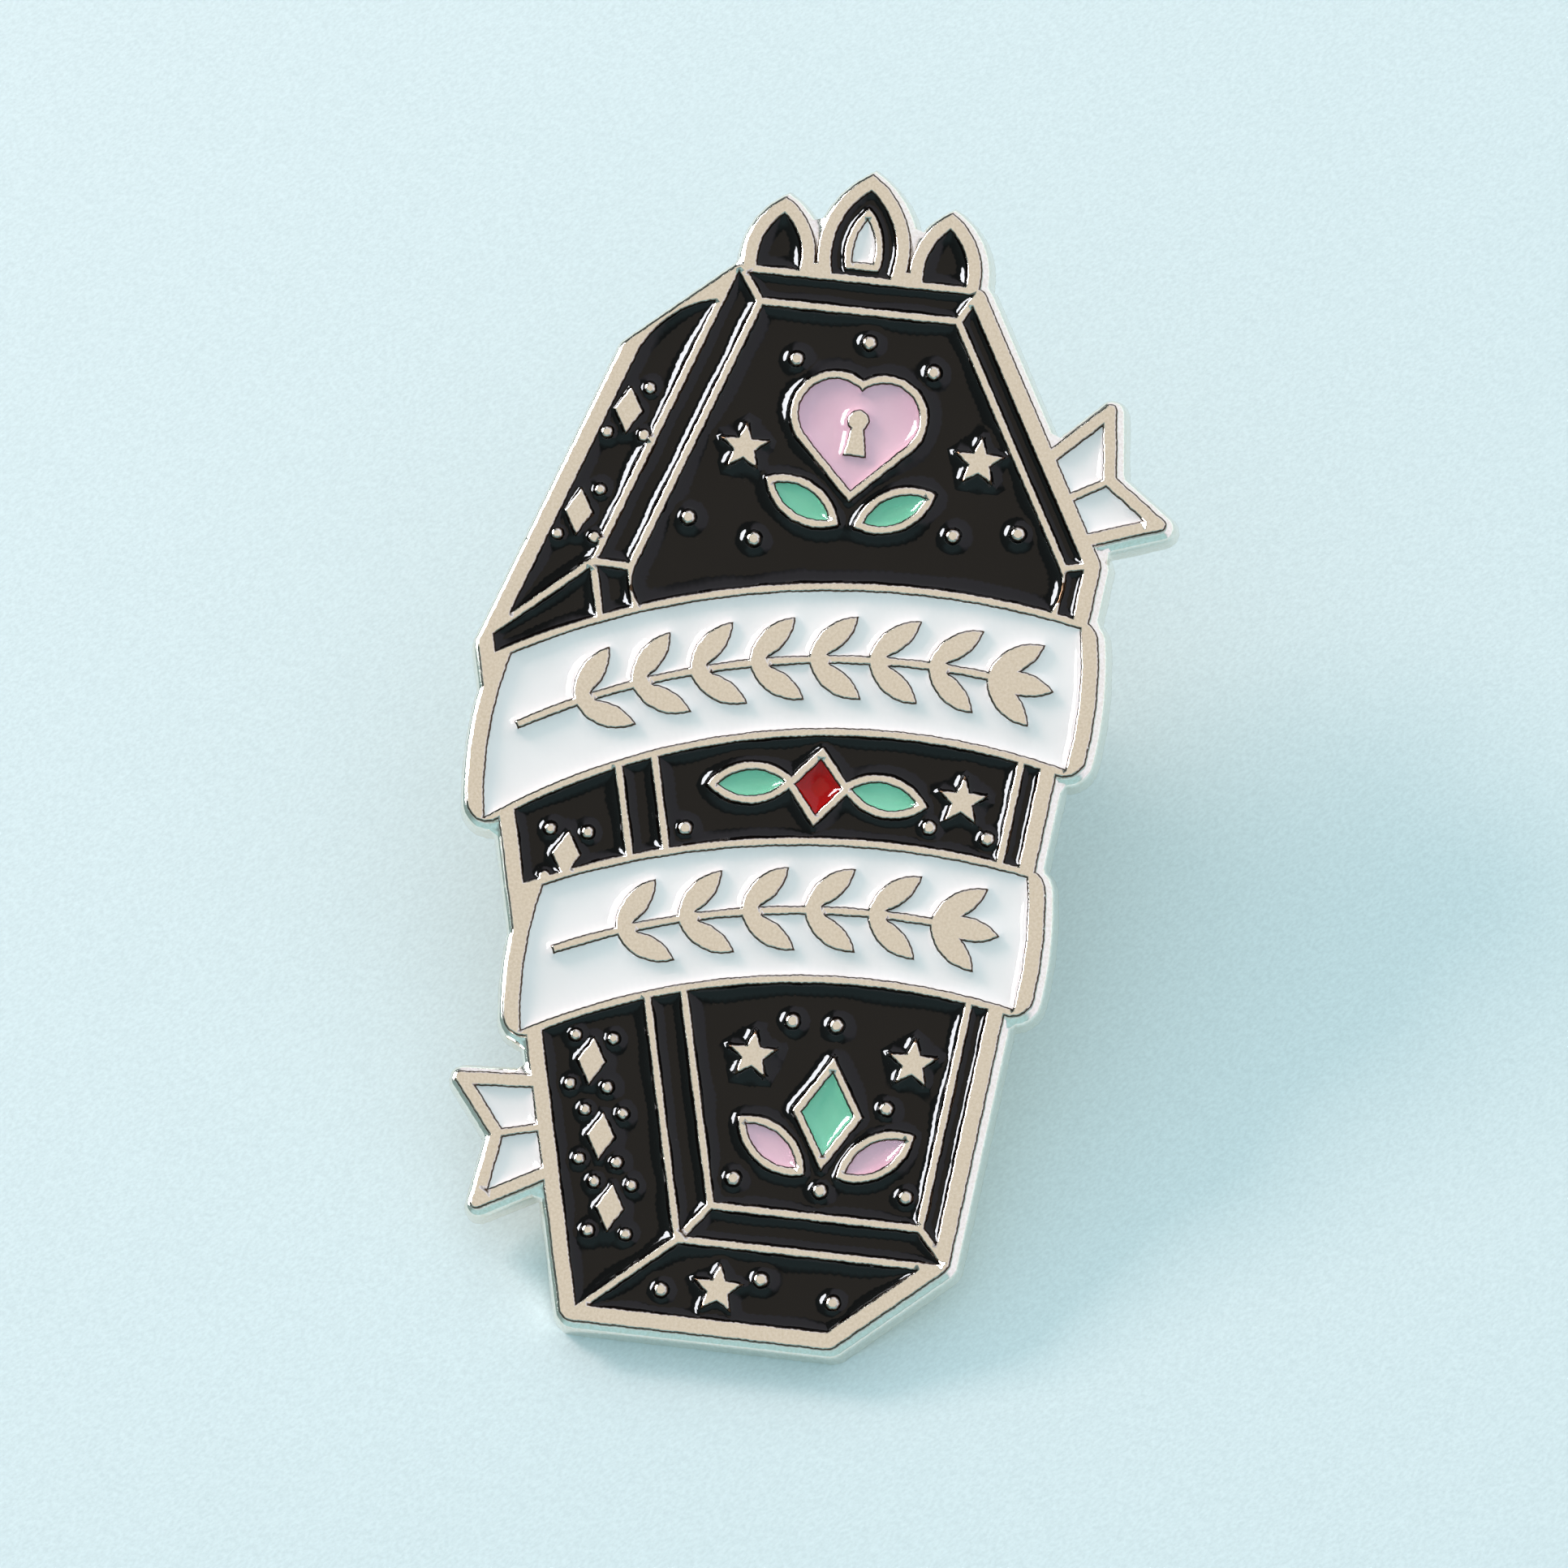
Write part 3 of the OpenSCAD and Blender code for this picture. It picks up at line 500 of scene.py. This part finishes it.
def enamel_fill(node_name, material):
    """A fill: its settled surface, walls down to the well's floor, and the floor.

    The surface has points along the outlines, on rings inside them, and on a grid with every other row
    shifted by half. Its normals are the sums of its triangles' own. Those along an outline are averaged
    with their neighbours three times over, so that gloss runs evenly along a wall.
    """
    outlines = face_outlines(node_name, FILL_Y)
    plan, _, unit, edge, owner, tree = rings(outlines, FILL_STEP, FILL_RINGS)
    n = len(owner)
    low, high = plan[:n].min(0), plan[:n].max(0)
    x, z = np.meshgrid(np.arange(low[0], high[0], FILL_GRID[0]), np.arange(low[1], high[1], FILL_GRID[1]))
    x = x + FILL_GRID[0] / 2 * (np.arange(len(z)) % 2)[:, None]
    grid = np.column_stack([x.ravel(), z.ravel()])
    found = [tree.find((*p, 0)) for p in grid.tolist()]
    near = np.array([f[1] for f in found]) % n
    inside = ((grid - plan[near]) * unit[near]).sum(1) > 0
    plan = np.concatenate([plan, grid[inside & (np.array([f[2] for f in found]) > GRID_CLEAR)]])
    used, tri = np.unique(triangles(plan, edge), return_inverse=True)
    plan, tri = plan[used], tri.reshape(-1, 3)
    height = WALL_Y + sum(rise * (settled(plan, tri, n, reach) - 1) for rise, reach in CLIMBS)
    top = place(plan, height)
    cross = np.cross(top[tri[:, 1]] - top[tri[:, 0]], top[tri[:, 2]] - top[tri[:, 0]])
    normal = np.column_stack([np.bincount(tri.ravel(), np.repeat(c, 3), len(plan)) for c in cross.T])
    normal /= np.maximum(np.linalg.norm(normal, axis=1), 1e-30)[:, None]
    i, j = edge.T
    for _ in range(3):
        shared = normal[i] + normal[j]
        normal[i] = shared
        normal[j] += shared
        normal[:n] /= np.linalg.norm(normal[:n], axis=1)[:, None]
    base = len(plan)
    wall = np.column_stack([base + i, base + j, j, i])
    floor = np.flip(triangles(plan[:n], edge), 1) + base
    points = np.concatenate([top, place(plan[:n], WELL_Y)])
    side = np.concatenate([np.zeros((base, 3)), facing(-unit[:n], 0.0)])
    side[:n] = side[base:]
    normal = np.concatenate([normal, side[base:]])
    back = np.array([0.0, 1.0, 0.0])
    patches = [(tri, normal, 0), (wall, side, 0), (floor, back, 0)]
    made = piece(node_name + "_fill", points, patches, material)
    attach(made, "pin")
    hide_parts(node_name)
    return made


def soft_enamel(name, pale, deep, speck):
    """Baked enamel paint: glossy and smooth, its colour a little uneven over millimetres, with a few dust
    specks of about 0.1 mm and a faint orange peel."""
    material, tree, shader, spot = finish(name, Roughness=0.05, IOR=1.37)
    cloud = add_node(tree, "TexNoise", [("Vector", spot)], Scale=350.0, Detail=3.0)
    tone = add_node(tree, "ValToRGB", [("Fac", cloud.outputs["Fac"])], [(0.3, deep), (0.7, pale)])
    dust = add_node(tree, "TexVoronoi", [("Vector", spot)], Scale=900.0)
    some = add_node(tree, "TexNoise", [("Vector", spot)], Scale=2200.0, Detail=0.0)
    size = add_node(tree, "Math", [(0, dust.outputs["Distance"]), (1, some.outputs["Fac"])],
                    operation="ADD")
    mask = add_node(tree, "ValToRGB", [("Fac", size.outputs["Value"])], [(0.3, 1.0), (0.34, 0.0)])
    mix = add_node(tree, "Mix", [("Factor", mask.outputs["Color"]), (6, tone.outputs["Color"]),
                                 (7, linear(speck))], data_type="RGBA")
    tree.links.new(shader.inputs["Base Color"], mix.outputs[2])
    peel = add_node(tree, "TexNoise", [("Vector", spot)], Scale=1600.0, Detail=1.0)
    bump = add_node(tree, "Bump", [("Height", peel.outputs["Fac"])], Strength=0.06, Distance=0.00003)
    tree.links.new(shader.inputs["Normal"], bump.outputs["Normal"])
    return material


enamels = {
    "black": soft_enamel("black_enamel", "#0d0b0b", "#090707", "#5a585c"),
    "white": soft_enamel("white_enamel", "#fafafb", "#f4f4f5", "#8d8a88"),
    "mint": soft_enamel("mint_enamel", "#88d6b9", "#78c8a9", "#3f8a6c"),
    "pink": soft_enamel("pink_enamel", "#edc9d9", "#e2b9cd", "#a9809a"),
    "red": soft_enamel("red_enamel", "#b21111", "#9a0909", "#5a0808"),
}
for node_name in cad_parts:
    colour = node_name.split("_")[0]
    if colour in enamels:
        enamel_fill(node_name, enamels[colour])

# The nail post.
# A steel nail, headed to a flat pad and turned to a groove and a point, then nickel plated.
# It stands on the back of the plate.
POST_R, POST_L = 0.55, 8.2
PAD_R, PAD_T = 2.4, 0.4
GROOVE_R, GROOVE_AT, GROOVE_L = 0.42, 5.9, 0.5
GROOVE_SLOPE = 0.1          # length of each of its sloped walls
NOSE_R, POINT_L = 0.52, 1.2
TIP_R, TIP_L = 0.07, 0.06   # the blunt end of the point
ARC_STEP = 12               # in degrees, between points on a rounded corner


def rounded(corners, radii, closed=False):
    """A profile with its corners turned into arcs of given radii, and the normals on the right of its run.

    An arc touches both sides of its corner at radius x tan(half the turn); where there's no arc, the
    corner is kept twice, once with each side's normal.
    """
    corners = np.array(corners, float)
    spot, normal = [], []
    count = len(corners)
    for k in range(count):
        here = corners[k]
        into = here - corners[k - 1] if closed or k > 0 else corners[1] - corners[0]
        out = corners[(k + 1) % count] - here if closed or k < count - 1 else into
        into, out = into / np.linalg.norm(into), out / np.linalg.norm(out)
        turn = np.arctan2(into[0] * out[1] - into[1] * out[0], (into * out).sum())
        cut = radii[k] * np.tan(abs(turn) / 2)
        steps = max(2, int(np.ceil(abs(turn) / np.radians(ARC_STEP))) + 1) if abs(turn) > 1e-6 else 1
        for t in np.linspace(0, 1, steps):
            a = turn * t
            side = np.array([into[1], -into[0]])
            bent = np.array([side[0] * np.cos(a) - side[1] * np.sin(a),
                             side[0] * np.sin(a) + side[1] * np.cos(a)])
            start = here - into * cut
            centre = start - side * radii[k] * np.sign(turn)
            spot.append(centre + bent * radii[k] * np.sign(turn))
            normal.append(bent)
    return np.array(spot), np.array(normal)


def turned(name, profile, normal, material, closed=False, steps=96, swell=None):
    """Solid of a profile (radius, y) turned about the post's axis: (r cos a, y, r sin a).

    The profile runs with the outside on its right; an end on the axis becomes a single point. `swell`
    scales the radius by the angle.
    """
    angle = np.arange(steps) * 2 * np.pi / steps
    scale = np.ones(steps) if swell is None else swell(angle)
    count = len(profile)
    number = np.arange(count * steps).reshape(count, steps)
    if not closed:
        number[0] = number[0, 0]
        number[-1] = number[-1, 0]
    r, y = profile[:, 0, None] * scale, np.broadcast_to(profile[:, 1, None], (count, steps))
    points = np.stack([r * np.cos(angle), y, r * np.sin(angle)], 2).reshape(-1, 3) / 1000
    lean = np.stack([normal[:, 0, None] * np.cos(angle),
                     np.broadcast_to(normal[:, 1, None], (count, steps)),
                     normal[:, 0, None] * np.sin(angle)], 2).reshape(-1, 3)
    below, above = (number, np.roll(number, -1, 0)) if closed else (number[:-1], number[1:])
    quads = np.stack([below, above, np.roll(above, -1, 1), np.roll(below, -1, 1)], 2).reshape(-1, 4)
    patches = []
    for face in (quads[:, [0, 1, 2]], quads[:, [0, 2, 3]]):
        patches.append(face[(face != np.roll(face, -1, 1)).all(1)])
    used, faces = np.unique(np.concatenate(patches), return_inverse=True)
    return piece(name, points[used], [(faces.reshape(-1, 3), lean[used], 0)], material)


def plated_steel(name, pale, deep, gloss):
    """Bright nickel plate on drawn or stamped steel, with faint rings round the axis 0.1 mm apart, cloudy
    gloss and small dents."""
    material, tree, shader, spot = finish(name, Metallic=1.0)
    cloud = add_node(tree, "TexNoise", [("Vector", spot)], Scale=500.0, Detail=4.0)
    tone = add_node(tree, "ValToRGB", [("Fac", cloud.outputs["Fac"])], [(0.3, deep), (0.7, pale)])
    tree.links.new(shader.inputs["Base Color"], tone.outputs["Color"])
    rough = add_node(tree, "MapRange", [("Value", cloud.outputs["Fac"])], From_Min=0.3, From_Max=0.7,
                     To_Min=gloss, To_Max=gloss + 0.09)
    tree.links.new(shader.inputs["Roughness"], rough.outputs["Result"])
    stretch = add_node(tree, "Mapping", [("Vector", spot)], Scale=(600.0, 10000.0, 600.0))
    ring = add_node(tree, "TexNoise", [("Vector", stretch.outputs["Vector"])], Scale=1.0, Detail=2.0)
    dent = add_node(tree, "TexNoise", [("Vector", spot)], Scale=1800.0, Detail=1.0)
    first = add_node(tree, "Bump", [("Height", ring.outputs["Fac"])], Strength=0.1, Distance=0.00002)
    second = add_node(tree, "Bump",
                      [("Height", dent.outputs["Fac"]), ("Normal", first.outputs["Normal"])],
                      Strength=0.1, Distance=0.00004)
    tree.links.new(shader.inputs["Normal"], second.outputs["Normal"])
    return material


line, normal = rounded(
    [(0, 0), (PAD_R, 0), (PAD_R, PAD_T), (POST_R, PAD_T),
     (POST_R, GROOVE_AT), (GROOVE_R, GROOVE_AT + GROOVE_SLOPE),
     (GROOVE_R, GROOVE_AT + GROOVE_L - GROOVE_SLOPE), (NOSE_R, GROOVE_AT + GROOVE_L),
     (NOSE_R, POST_L - POINT_L), (TIP_R, POST_L - TIP_L), (0, POST_L)],
    [0, 0, 0.1, 0.16, 0.06, 0.06, 0.06, 0.05, 0.25, 0.06, 0])
post = turned("nail_post", line, normal, plated_steel("plated_steel", "#d3cec3", "#c3bdb1", 0.12))
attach(post, "pin")
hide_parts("post")

# The solder.
# A dull bead of soft solder, uneven in width, that ran out around the pad when the post was fixed to the
# plate with a hot iron.
SOLDER_W, SOLDER_H = 0.4, 0.34
SOLDER_LAP = 0.05   # how far it runs in at the pad's edge


def bead(angle):
    """Share of the bead's radius: three slow waves round the pad, at most the CAD bead's own radius."""
    return (0.985 + 0.006 * np.sin(2 * angle + 0.4) + 0.005 * np.sin(5 * angle + 1.9)
            + 0.003 * np.sin(9 * angle))


def dull_solder():
    """Soft solder as it froze: grey and half matt, with a crystal grain of about 0.4 mm."""
    material, tree, shader, spot = finish("dull_solder", Metallic=1.0)
    grain = add_node(tree, "TexNoise", [("Vector", spot)], Scale=2400.0, Detail=5.0)
    tone = add_node(tree, "ValToRGB", [("Fac", grain.outputs["Fac"])],
                    [(0.3, "#86827a"), (0.7, "#aaa69d")])
    tree.links.new(shader.inputs["Base Color"], tone.outputs["Color"])
    rough = add_node(tree, "MapRange", [("Value", grain.outputs["Fac"])], To_Min=0.3, To_Max=0.55)
    tree.links.new(shader.inputs["Roughness"], rough.outputs["Result"])
    bump = add_node(tree, "Bump", [("Height", grain.outputs["Fac"])], Strength=0.4, Distance=0.00006)
    tree.links.new(shader.inputs["Normal"], bump.outputs["Normal"])
    return material


line, normal = rounded(
    [(PAD_R - SOLDER_LAP, 0), (PAD_R + SOLDER_W, 0), (PAD_R + 0.26, 0.06), (PAD_R + 0.12, 0.16),
     (PAD_R + 0.04, SOLDER_H), (PAD_R - SOLDER_LAP, SOLDER_H)],
    [0, 0, 0.3, 0.3, 0.03, 0], closed=True)
solder = turned("solder_bead", line, normal, dull_solder(), closed=True, swell=bead)
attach(solder, "pin")
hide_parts("post_solder")

# The clutch's cap.
# A disc of thin plated steel pressed to a dish; its rim is curled in over the roots of the two leaves.
# A low ring pressed around the hole stiffens its floor.
CLOTH_GAP = 2.6              # from the back of the plate to the cap
CAP_R, CAP_H, CAP_T = 5.65, 1.9, 0.4
CAP_DRAFT = (0.05, 0.5)      # across and up, the slant of its wall where the floor bends into it
HOLE_R = 0.61
RING_R = (1.5, 1.75, 2.35, 2.6)   # where the pressed ring begins, is at its full depth, and ends
RING_T = 0.12                # its depth
CURL_W, CURL_T = 0.7, 0.3    # how far the rim is curled in, and the height of its lip
clutch_steel = plated_steel("plated_sheet", "#dcd5c6", "#cbc3b3", 0.1)
line, normal = rounded(
    [(HOLE_R, CLOTH_GAP + CAP_T), (HOLE_R, CLOTH_GAP),
     (RING_R[0], CLOTH_GAP), (RING_R[1], CLOTH_GAP + RING_T),
     (RING_R[2], CLOTH_GAP + RING_T), (RING_R[3], CLOTH_GAP),
     (CAP_R - CAP_DRAFT[0], CLOTH_GAP), (CAP_R, CLOTH_GAP + CAP_DRAFT[1]), (CAP_R, CLOTH_GAP + CAP_H),
     (CAP_R - CURL_W, CLOTH_GAP + CAP_H), (CAP_R - CURL_W, CLOTH_GAP + CAP_H - CURL_T),
     (CAP_R - CAP_T, CLOTH_GAP + CAP_H - CAP_T), (CAP_R - CAP_T, CLOTH_GAP + CAP_T)],
    [0.08, 0.12, 0.2, 0.2, 0.2, 0.2, 0.35, 0.4, 0.38, 0.1, 0.1, 0.1, 0.25], closed=True)
cap = turned("clutch_dish", line, normal, clutch_steel, closed=True, steps=128)
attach(cap, "clutch")
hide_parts("clutch_cap")

# The clutch's leaves.
# Two spring leaves cut from hard plated sheet and bent; they cross on the post, one through a window in
# the other, and end in the wings that are squeezed to let go of it.
LEAF_T, LEAF_W = 0.3, 2.9      # thickness and half width
LEAF_LINE = [(4.7, 0.63), (3.2, 0.71), (0, 1.85), (-2.7, 2.7), (-5.35, 6.2)]   # from root to tip
LEAF_BENDS = [0, 2.0, 3.0, 1.2, 0]   # radius of the bend at each of these points
LEAF_SOFT = 0.06               # width of its softened edges
SLOT_X = 1.6                   # half length of the window and of the neck
WINDOW_W, NECK_W = 1.55, 1.3   # their half widths
HOLE_X, HOLE_SIZE = -0.16, (0.8, 0.76)   # place and half axes of the oval hole in the neck
ROOT_R, WING_R = 4.85, 5.35    # circles that trim the leaf under the cap's rim and round the wing
ROW_STEP = 0.3                 # between rows of points along the leaf
TIP_ROWS = (0.024, 0.096, 0.216, 0.42, 0.72, 1.2)   # further rows at these distances from the round tip
FLANK, MIDDLE = 4, 8           # quads across each flank of the leaf and across its middle
MIDDLE_SHARE = 0.6             # of the half width, the most that the middle takes
NECK_RINGS = (0.35, 0.7, 1.0)  # rings of points, in shares of the way from the neck's outline to its hole


def leaf(name, way, window):
    """A leaf as the middle surface of its sheet, given its thickness and soft edges by modifiers.

    Its side line runs from the root through the knee, the crossing and the bend to the tip, its bends
    turned to arcs; each point of the line becomes a row across the leaf, as wide as the circle of the cap
    or of the wing allows, and never quite closed to a point. The window leaves out the middle of the rows
    within SLOT_X. The neck leaves out these rows and is drawn from its outline to an oval hole instead.
    """
    line, _ = rounded(LEAF_LINE, LEAF_BENDS)
    length = np.concatenate([[0], np.cumsum(np.linalg.norm(np.diff(line, axis=0), axis=1))])
    mark = np.interp([-SLOT_X, SLOT_X], line[::-1, 0], length[::-1])
    tip = length[-1] - np.array(TIP_ROWS)
    at = np.unique(np.round(np.concatenate([length, np.arange(0, length[-1], ROW_STEP), mark, tip]), 4))
    x, y = np.interp(at, length, line[:, 0]), np.interp(at, length, line[:, 1])
    half = np.minimum(LEAF_W, np.sqrt(np.maximum(np.where(x > 0, ROOT_R, WING_R)**2 - x**2, 0.02)))
    inner = np.minimum(WINDOW_W if window else NECK_W, MIDDLE_SHARE * half)
    flank = np.linspace(0, 1, FLANK + 1)
    across = np.column_stack([-half[:, None] + (half - inner)[:, None] * flank,
                              inner[:, None] * np.linspace(-1, 1, MIDDLE + 1)[1:-1],
                              inner[:, None] + (half - inner)[:, None] * flank])
    rows, columns = across.shape
    points = np.stack([np.broadcast_to(x[:, None], across.shape),
                       np.broadcast_to(y[:, None], across.shape), across], 2).reshape(-1, 3)
    number = np.arange(rows * columns).reshape(rows, columns)
    quads = np.stack([number[:-1, :-1], number[1:, :-1], number[1:, 1:], number[:-1, 1:]], 2)
    held = np.abs(0.5 * (x[:-1] + x[1:])) < SLOT_X
    left, right = FLANK, FLANK + MIDDLE
    middle = np.zeros(columns - 1, bool)
    middle[left:right] = True
    if window:
        faces = quads[~(held[:, None] & middle)].reshape(-1, 4)
    else:
        faces = quads[~held].reshape(-1, 4)
        first, last = np.flatnonzero(held)[[0, -1]] + [0, 1]
        fence = np.concatenate([number[first, left:right], number[first:last, right],
                                number[last, right:left:-1], number[last:first:-1, left]])
        edge = points[fence][:, [0, 2]]
        side = edge - [HOLE_X, 0]
        hole = [HOLE_X, 0] + side / np.linalg.norm(side, axis=1)[:, None] * HOLE_SIZE
        ring = [fence]
        for t in NECK_RINGS:
            plan = edge + (hole - edge) * t
            height = np.interp(-plan[:, 0], -line[:, 0], line[:, 1])
            ring.append(len(points) + np.arange(len(fence)))
            points = np.concatenate([points, np.column_stack([plan[:, 0], height, plan[:, 1]])])
        for a, b in zip(ring, ring[1:]):
            faces = np.concatenate([faces, np.column_stack([a, b, np.roll(b, -1), np.roll(a, -1)])])
    used, faces = np.unique(faces, return_inverse=True)
    faces = faces.reshape(-1, 4)
    points = points[used] * [way, 1, 1] + [0, CLOTH_GAP, 0]
    made = bpy.data.objects.new(name, bpy.data.meshes.new(name))
    faces = faces if way > 0 else np.flip(faces, 1)
    made.data.from_pydata((points / 1000).tolist(), [], faces.tolist())
    made.data.polygons.foreach_set("use_smooth", np.ones(len(faces), bool))
    made.data.materials.append(clutch_steel)
    bpy.context.scene.collection.objects.link(made)
    sheet = made.modifiers.new("thickness", "SOLIDIFY")
    sheet.thickness = LEAF_T / 1000
    sheet.offset = 0
    soft = made.modifiers.new("soft_edges", "BEVEL")
    soft.width = LEAF_SOFT / 1000
    soft.segments = 2
    soft.limit_method = "ANGLE"
    soft.angle_limit = np.radians(50)
    made.modifiers.new("even_shading", "WEIGHTED_NORMAL").keep_sharp = True
    return made


wing = leaf("leaf_left", 1, True)
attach(wing, "wing_left")
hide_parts("clutch_wing_left")
wing = leaf("leaf_right", -1, False)
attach(wing, "wing_right")
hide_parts("clutch_wing_right")

# Paper, lamps and camera.
# The pin leans back over a sheet of pale aqua paper, with its foot on it and the clutch's wings just clear
# of it, and is lit from the left by a soft box in a bright room.
FOOT_Z = -24.02                    # where the sheet meets the back of the plate, by the foot
SHEET_BACK, SHEET_UP = 9.0, 21.3   # from there to a spot of the sheet beside the wings
LEAN = np.arctan(SHEET_BACK / SHEET_UP)
PAPER_HALF = 0.4                   # half the sheet's side, in metres
LAMP_AWAY = 0.5                    # from the pin to a lamp, in metres


def aqua_paper():
    """Uncoated paper dyed pale aqua: matt, with fibres 0.1 mm wide and 0.2 mm long that lie aslant. From
    behind it is clear, so that the pin's back can be seen, and it casts no shadow."""
    material, tree, shader, spot = finish("aqua_paper", Roughness=0.9, Specular_IOR_Level=0.1)
    grain = add_node(tree, "Mapping", [("Vector", spot)], vector_type="TEXTURE",
                     Rotation=(0.0, np.radians(35), 0.0), Scale=(0.0001, 0.0001, 0.0002))
    fibre = add_node(tree, "TexNoise", [("Vector", grain.outputs["Vector"])], Scale=1.0, Detail=2.0)
    tone = add_node(tree, "ValToRGB", [("Fac", fibre.outputs["Fac"])],
                    [(0.3, "#cfe3e8"), (0.7, "#daeef3")])
    tree.links.new(shader.inputs["Base Color"], tone.outputs["Color"])
    bump = add_node(tree, "Bump", [("Height", fibre.outputs["Fac"])], Strength=0.3, Distance=0.00003)
    tree.links.new(shader.inputs["Normal"], bump.outputs["Normal"])
    behind = add_node(tree, "NewGeometry").outputs["Backfacing"]
    shadow = add_node(tree, "LightPath").outputs["Is Shadow Ray"]
    clear = add_node(tree, "Math", [(0, behind), (1, shadow)], operation="MAXIMUM")
    glass = add_node(tree, "BsdfTransparent")
    sheet = add_node(tree, "MixShader", [(0, clear.outputs["Value"]), (1, shader.outputs["BSDF"]),
                                         (2, glass.outputs["BSDF"])])
    tree.links.new(tree.nodes["Material Output"].inputs["Surface"], sheet.outputs["Shader"])
    return material


x, s = np.array([[-1, 1, 1, -1], [-1, -1, 1, 1]]) * PAPER_HALF
corners = np.column_stack([x, s * np.sin(LEAN), s * np.cos(LEAN) + FOOT_Z / 1000])
paper_mesh = bpy.data.meshes.new("paper")
paper_mesh.from_pydata(corners.tolist(), [], [(0, 1, 2, 3)])
paper_mesh.materials.append(aqua_paper())
paper = bpy.data.objects.new("paper", paper_mesh)
bpy.context.scene.collection.objects.link(paper)


def direction(azimuth, elevation):
    """Unit step from the pin toward an azimuth, counted from the front to the right, and an elevation,
    both in degrees: (sin a cos e, -cos a cos e, sin e)."""
    a, e = np.radians([azimuth, elevation])
    return Vector((np.sin(a) * np.cos(e), -np.cos(a) * np.cos(e), np.sin(e)))


def lamp(name, azimuth, elevation, size, power, colour):
    """Square lamp LAMP_AWAY from the pin and aimed at it."""
    light = bpy.data.lights.new(name, "AREA")
    light.size = size
    light.energy = power
    light.color = linear(colour)[:3]
    made = bpy.data.objects.new(name, light)
    away = direction(azimuth, elevation)
    turn = away.to_track_quat("Z", "Y").to_matrix().to_4x4()
    made.matrix_world = Matrix.Translation(away * LAMP_AWAY) @ turn
    bpy.context.scene.collection.objects.link(made)
    return made


soft_box = lamp("soft_box", -63, 34, 0.14, 1.176, "#ffd0c6")
soft_box.visible_glossy = False   # gloss shows the room's window in its place
lamp("rear_fill", 205, 30, 0.3, 1.0, "#fffdf8")

world = bpy.data.worlds.new("room")
bpy.context.scene.world = world
world.use_nodes = True
tree = world.node_tree
looked = add_node(tree, "TexCoord").outputs["Generated"]
# Gloss mirrors a room that is dark at the lower left and bright at the upper right, with four fields in
# it. A field begins and is full at these cosines of the angle from its middle.
aside = add_node(tree, "VectorMath", [(0, looked), (1, Vector((0.8, 0, 0.6)).normalized())],
                 operation="DOT_PRODUCT")
aside = add_node(tree, "MapRange", [("Value", aside.outputs["Value"])], From_Min=-1.0)
walls = add_node(tree, "ValToRGB", [("Fac", aside.outputs["Result"])],
                 [(0.0, "#839c9c"), (0.4, "#6a7a7a"), (0.54, "#687474"),
                  (0.6, "#e4e3ef"), (1.0, "#e9edf4")])
room = walls.outputs["Color"]
for way, begins, full, colour in [
        ((0.105, 0.985, -0.14), 0.0, 0.001, linear("#ecfdfd")),     # the paper and what is behind the pin
        ((-0.105, -0.985, 0.14), 0.955, 0.97, linear("#cec6b9")),   # the wall that the flats mirror
        ((0.0, -0.6, -0.8), 0.7, 0.85, linear("#a2c6cb")),          # the paper in front of the pin
        ((-0.74, -0.56, 0.33), 0.958, 0.962, (30, 30.5, 32, 1))]:   # the window on the left
    near = add_node(tree, "VectorMath", [(0, looked), (1, Vector(way).normalized())],
                    operation="DOT_PRODUCT")
    share = add_node(tree, "ValToRGB", [("Fac", near.outputs["Value"])], [(begins, 0.0), (full, 1.0)])
    mixed = add_node(tree, "Mix", [("Factor", share.outputs["Color"]), (6, room), (7, colour)],
                     data_type="RGBA")
    room = mixed.outputs[2]
# All else is lit by a soft sky, brightest above and in front, and the backdrop is as pale as the paper.
ray = add_node(tree, "LightPath")
above = add_node(tree, "VectorMath", [(0, looked), (1, Vector((-0.1, -0.55, 0.83)).normalized())],
                 operation="DOT_PRODUCT")
above = add_node(tree, "MapRange", [("Value", above.outputs["Value"])], From_Min=-1.0)
sky = add_node(tree, "ValToRGB", [("Fac", above.outputs["Result"])],
               [(0.0, "#506a6b"), (0.4, "#8ca2a4"), (0.65, "#bfd0d2"), (1.0, "#f2f9fa")])
light = add_node(tree, "Mix", [("Factor", ray.outputs["Is Glossy Ray"]), (6, sky.outputs["Color"]),
                               (7, room)], data_type="RGBA")
seen = add_node(tree, "Mix", [("Factor", ray.outputs["Is Camera Ray"]), (6, light.outputs[2]),
                              (7, linear("#cbdee2"))], data_type="RGBA")
background = tree.nodes["Background"]
background.inputs["Strength"].default_value = 1.2
tree.links.new(background.inputs["Color"], seen.outputs[2])

# The camera looks at the face from a little below and to the right, with a long lens, and is rolled so
# that the pin leans to the right in the picture.
aim = Vector((0.36, -0.8, -5.03)) / 1000
distance, view_width = 0.35, 0.053   # in metres, how far it stands and how wide it sees there
sensor = 36.0
roll = np.radians(7)
away = direction(6, -8)
camera = bpy.data.objects.new("camera", bpy.data.cameras.new("camera"))
camera.data.sensor_width = sensor
camera.data.lens = sensor * distance / view_width
camera.data.clip_start = 0.01
turn = away.to_track_quat("Z", "Y").to_matrix().to_4x4() @ Matrix.Rotation(roll, 4, "Z")
camera.matrix_world = Matrix.Translation(aim + away * distance) @ turn
bpy.context.scene.collection.objects.link(camera)
bpy.context.scene.camera = camera
bpy.context.scene.view_settings.view_transform = "Standard"
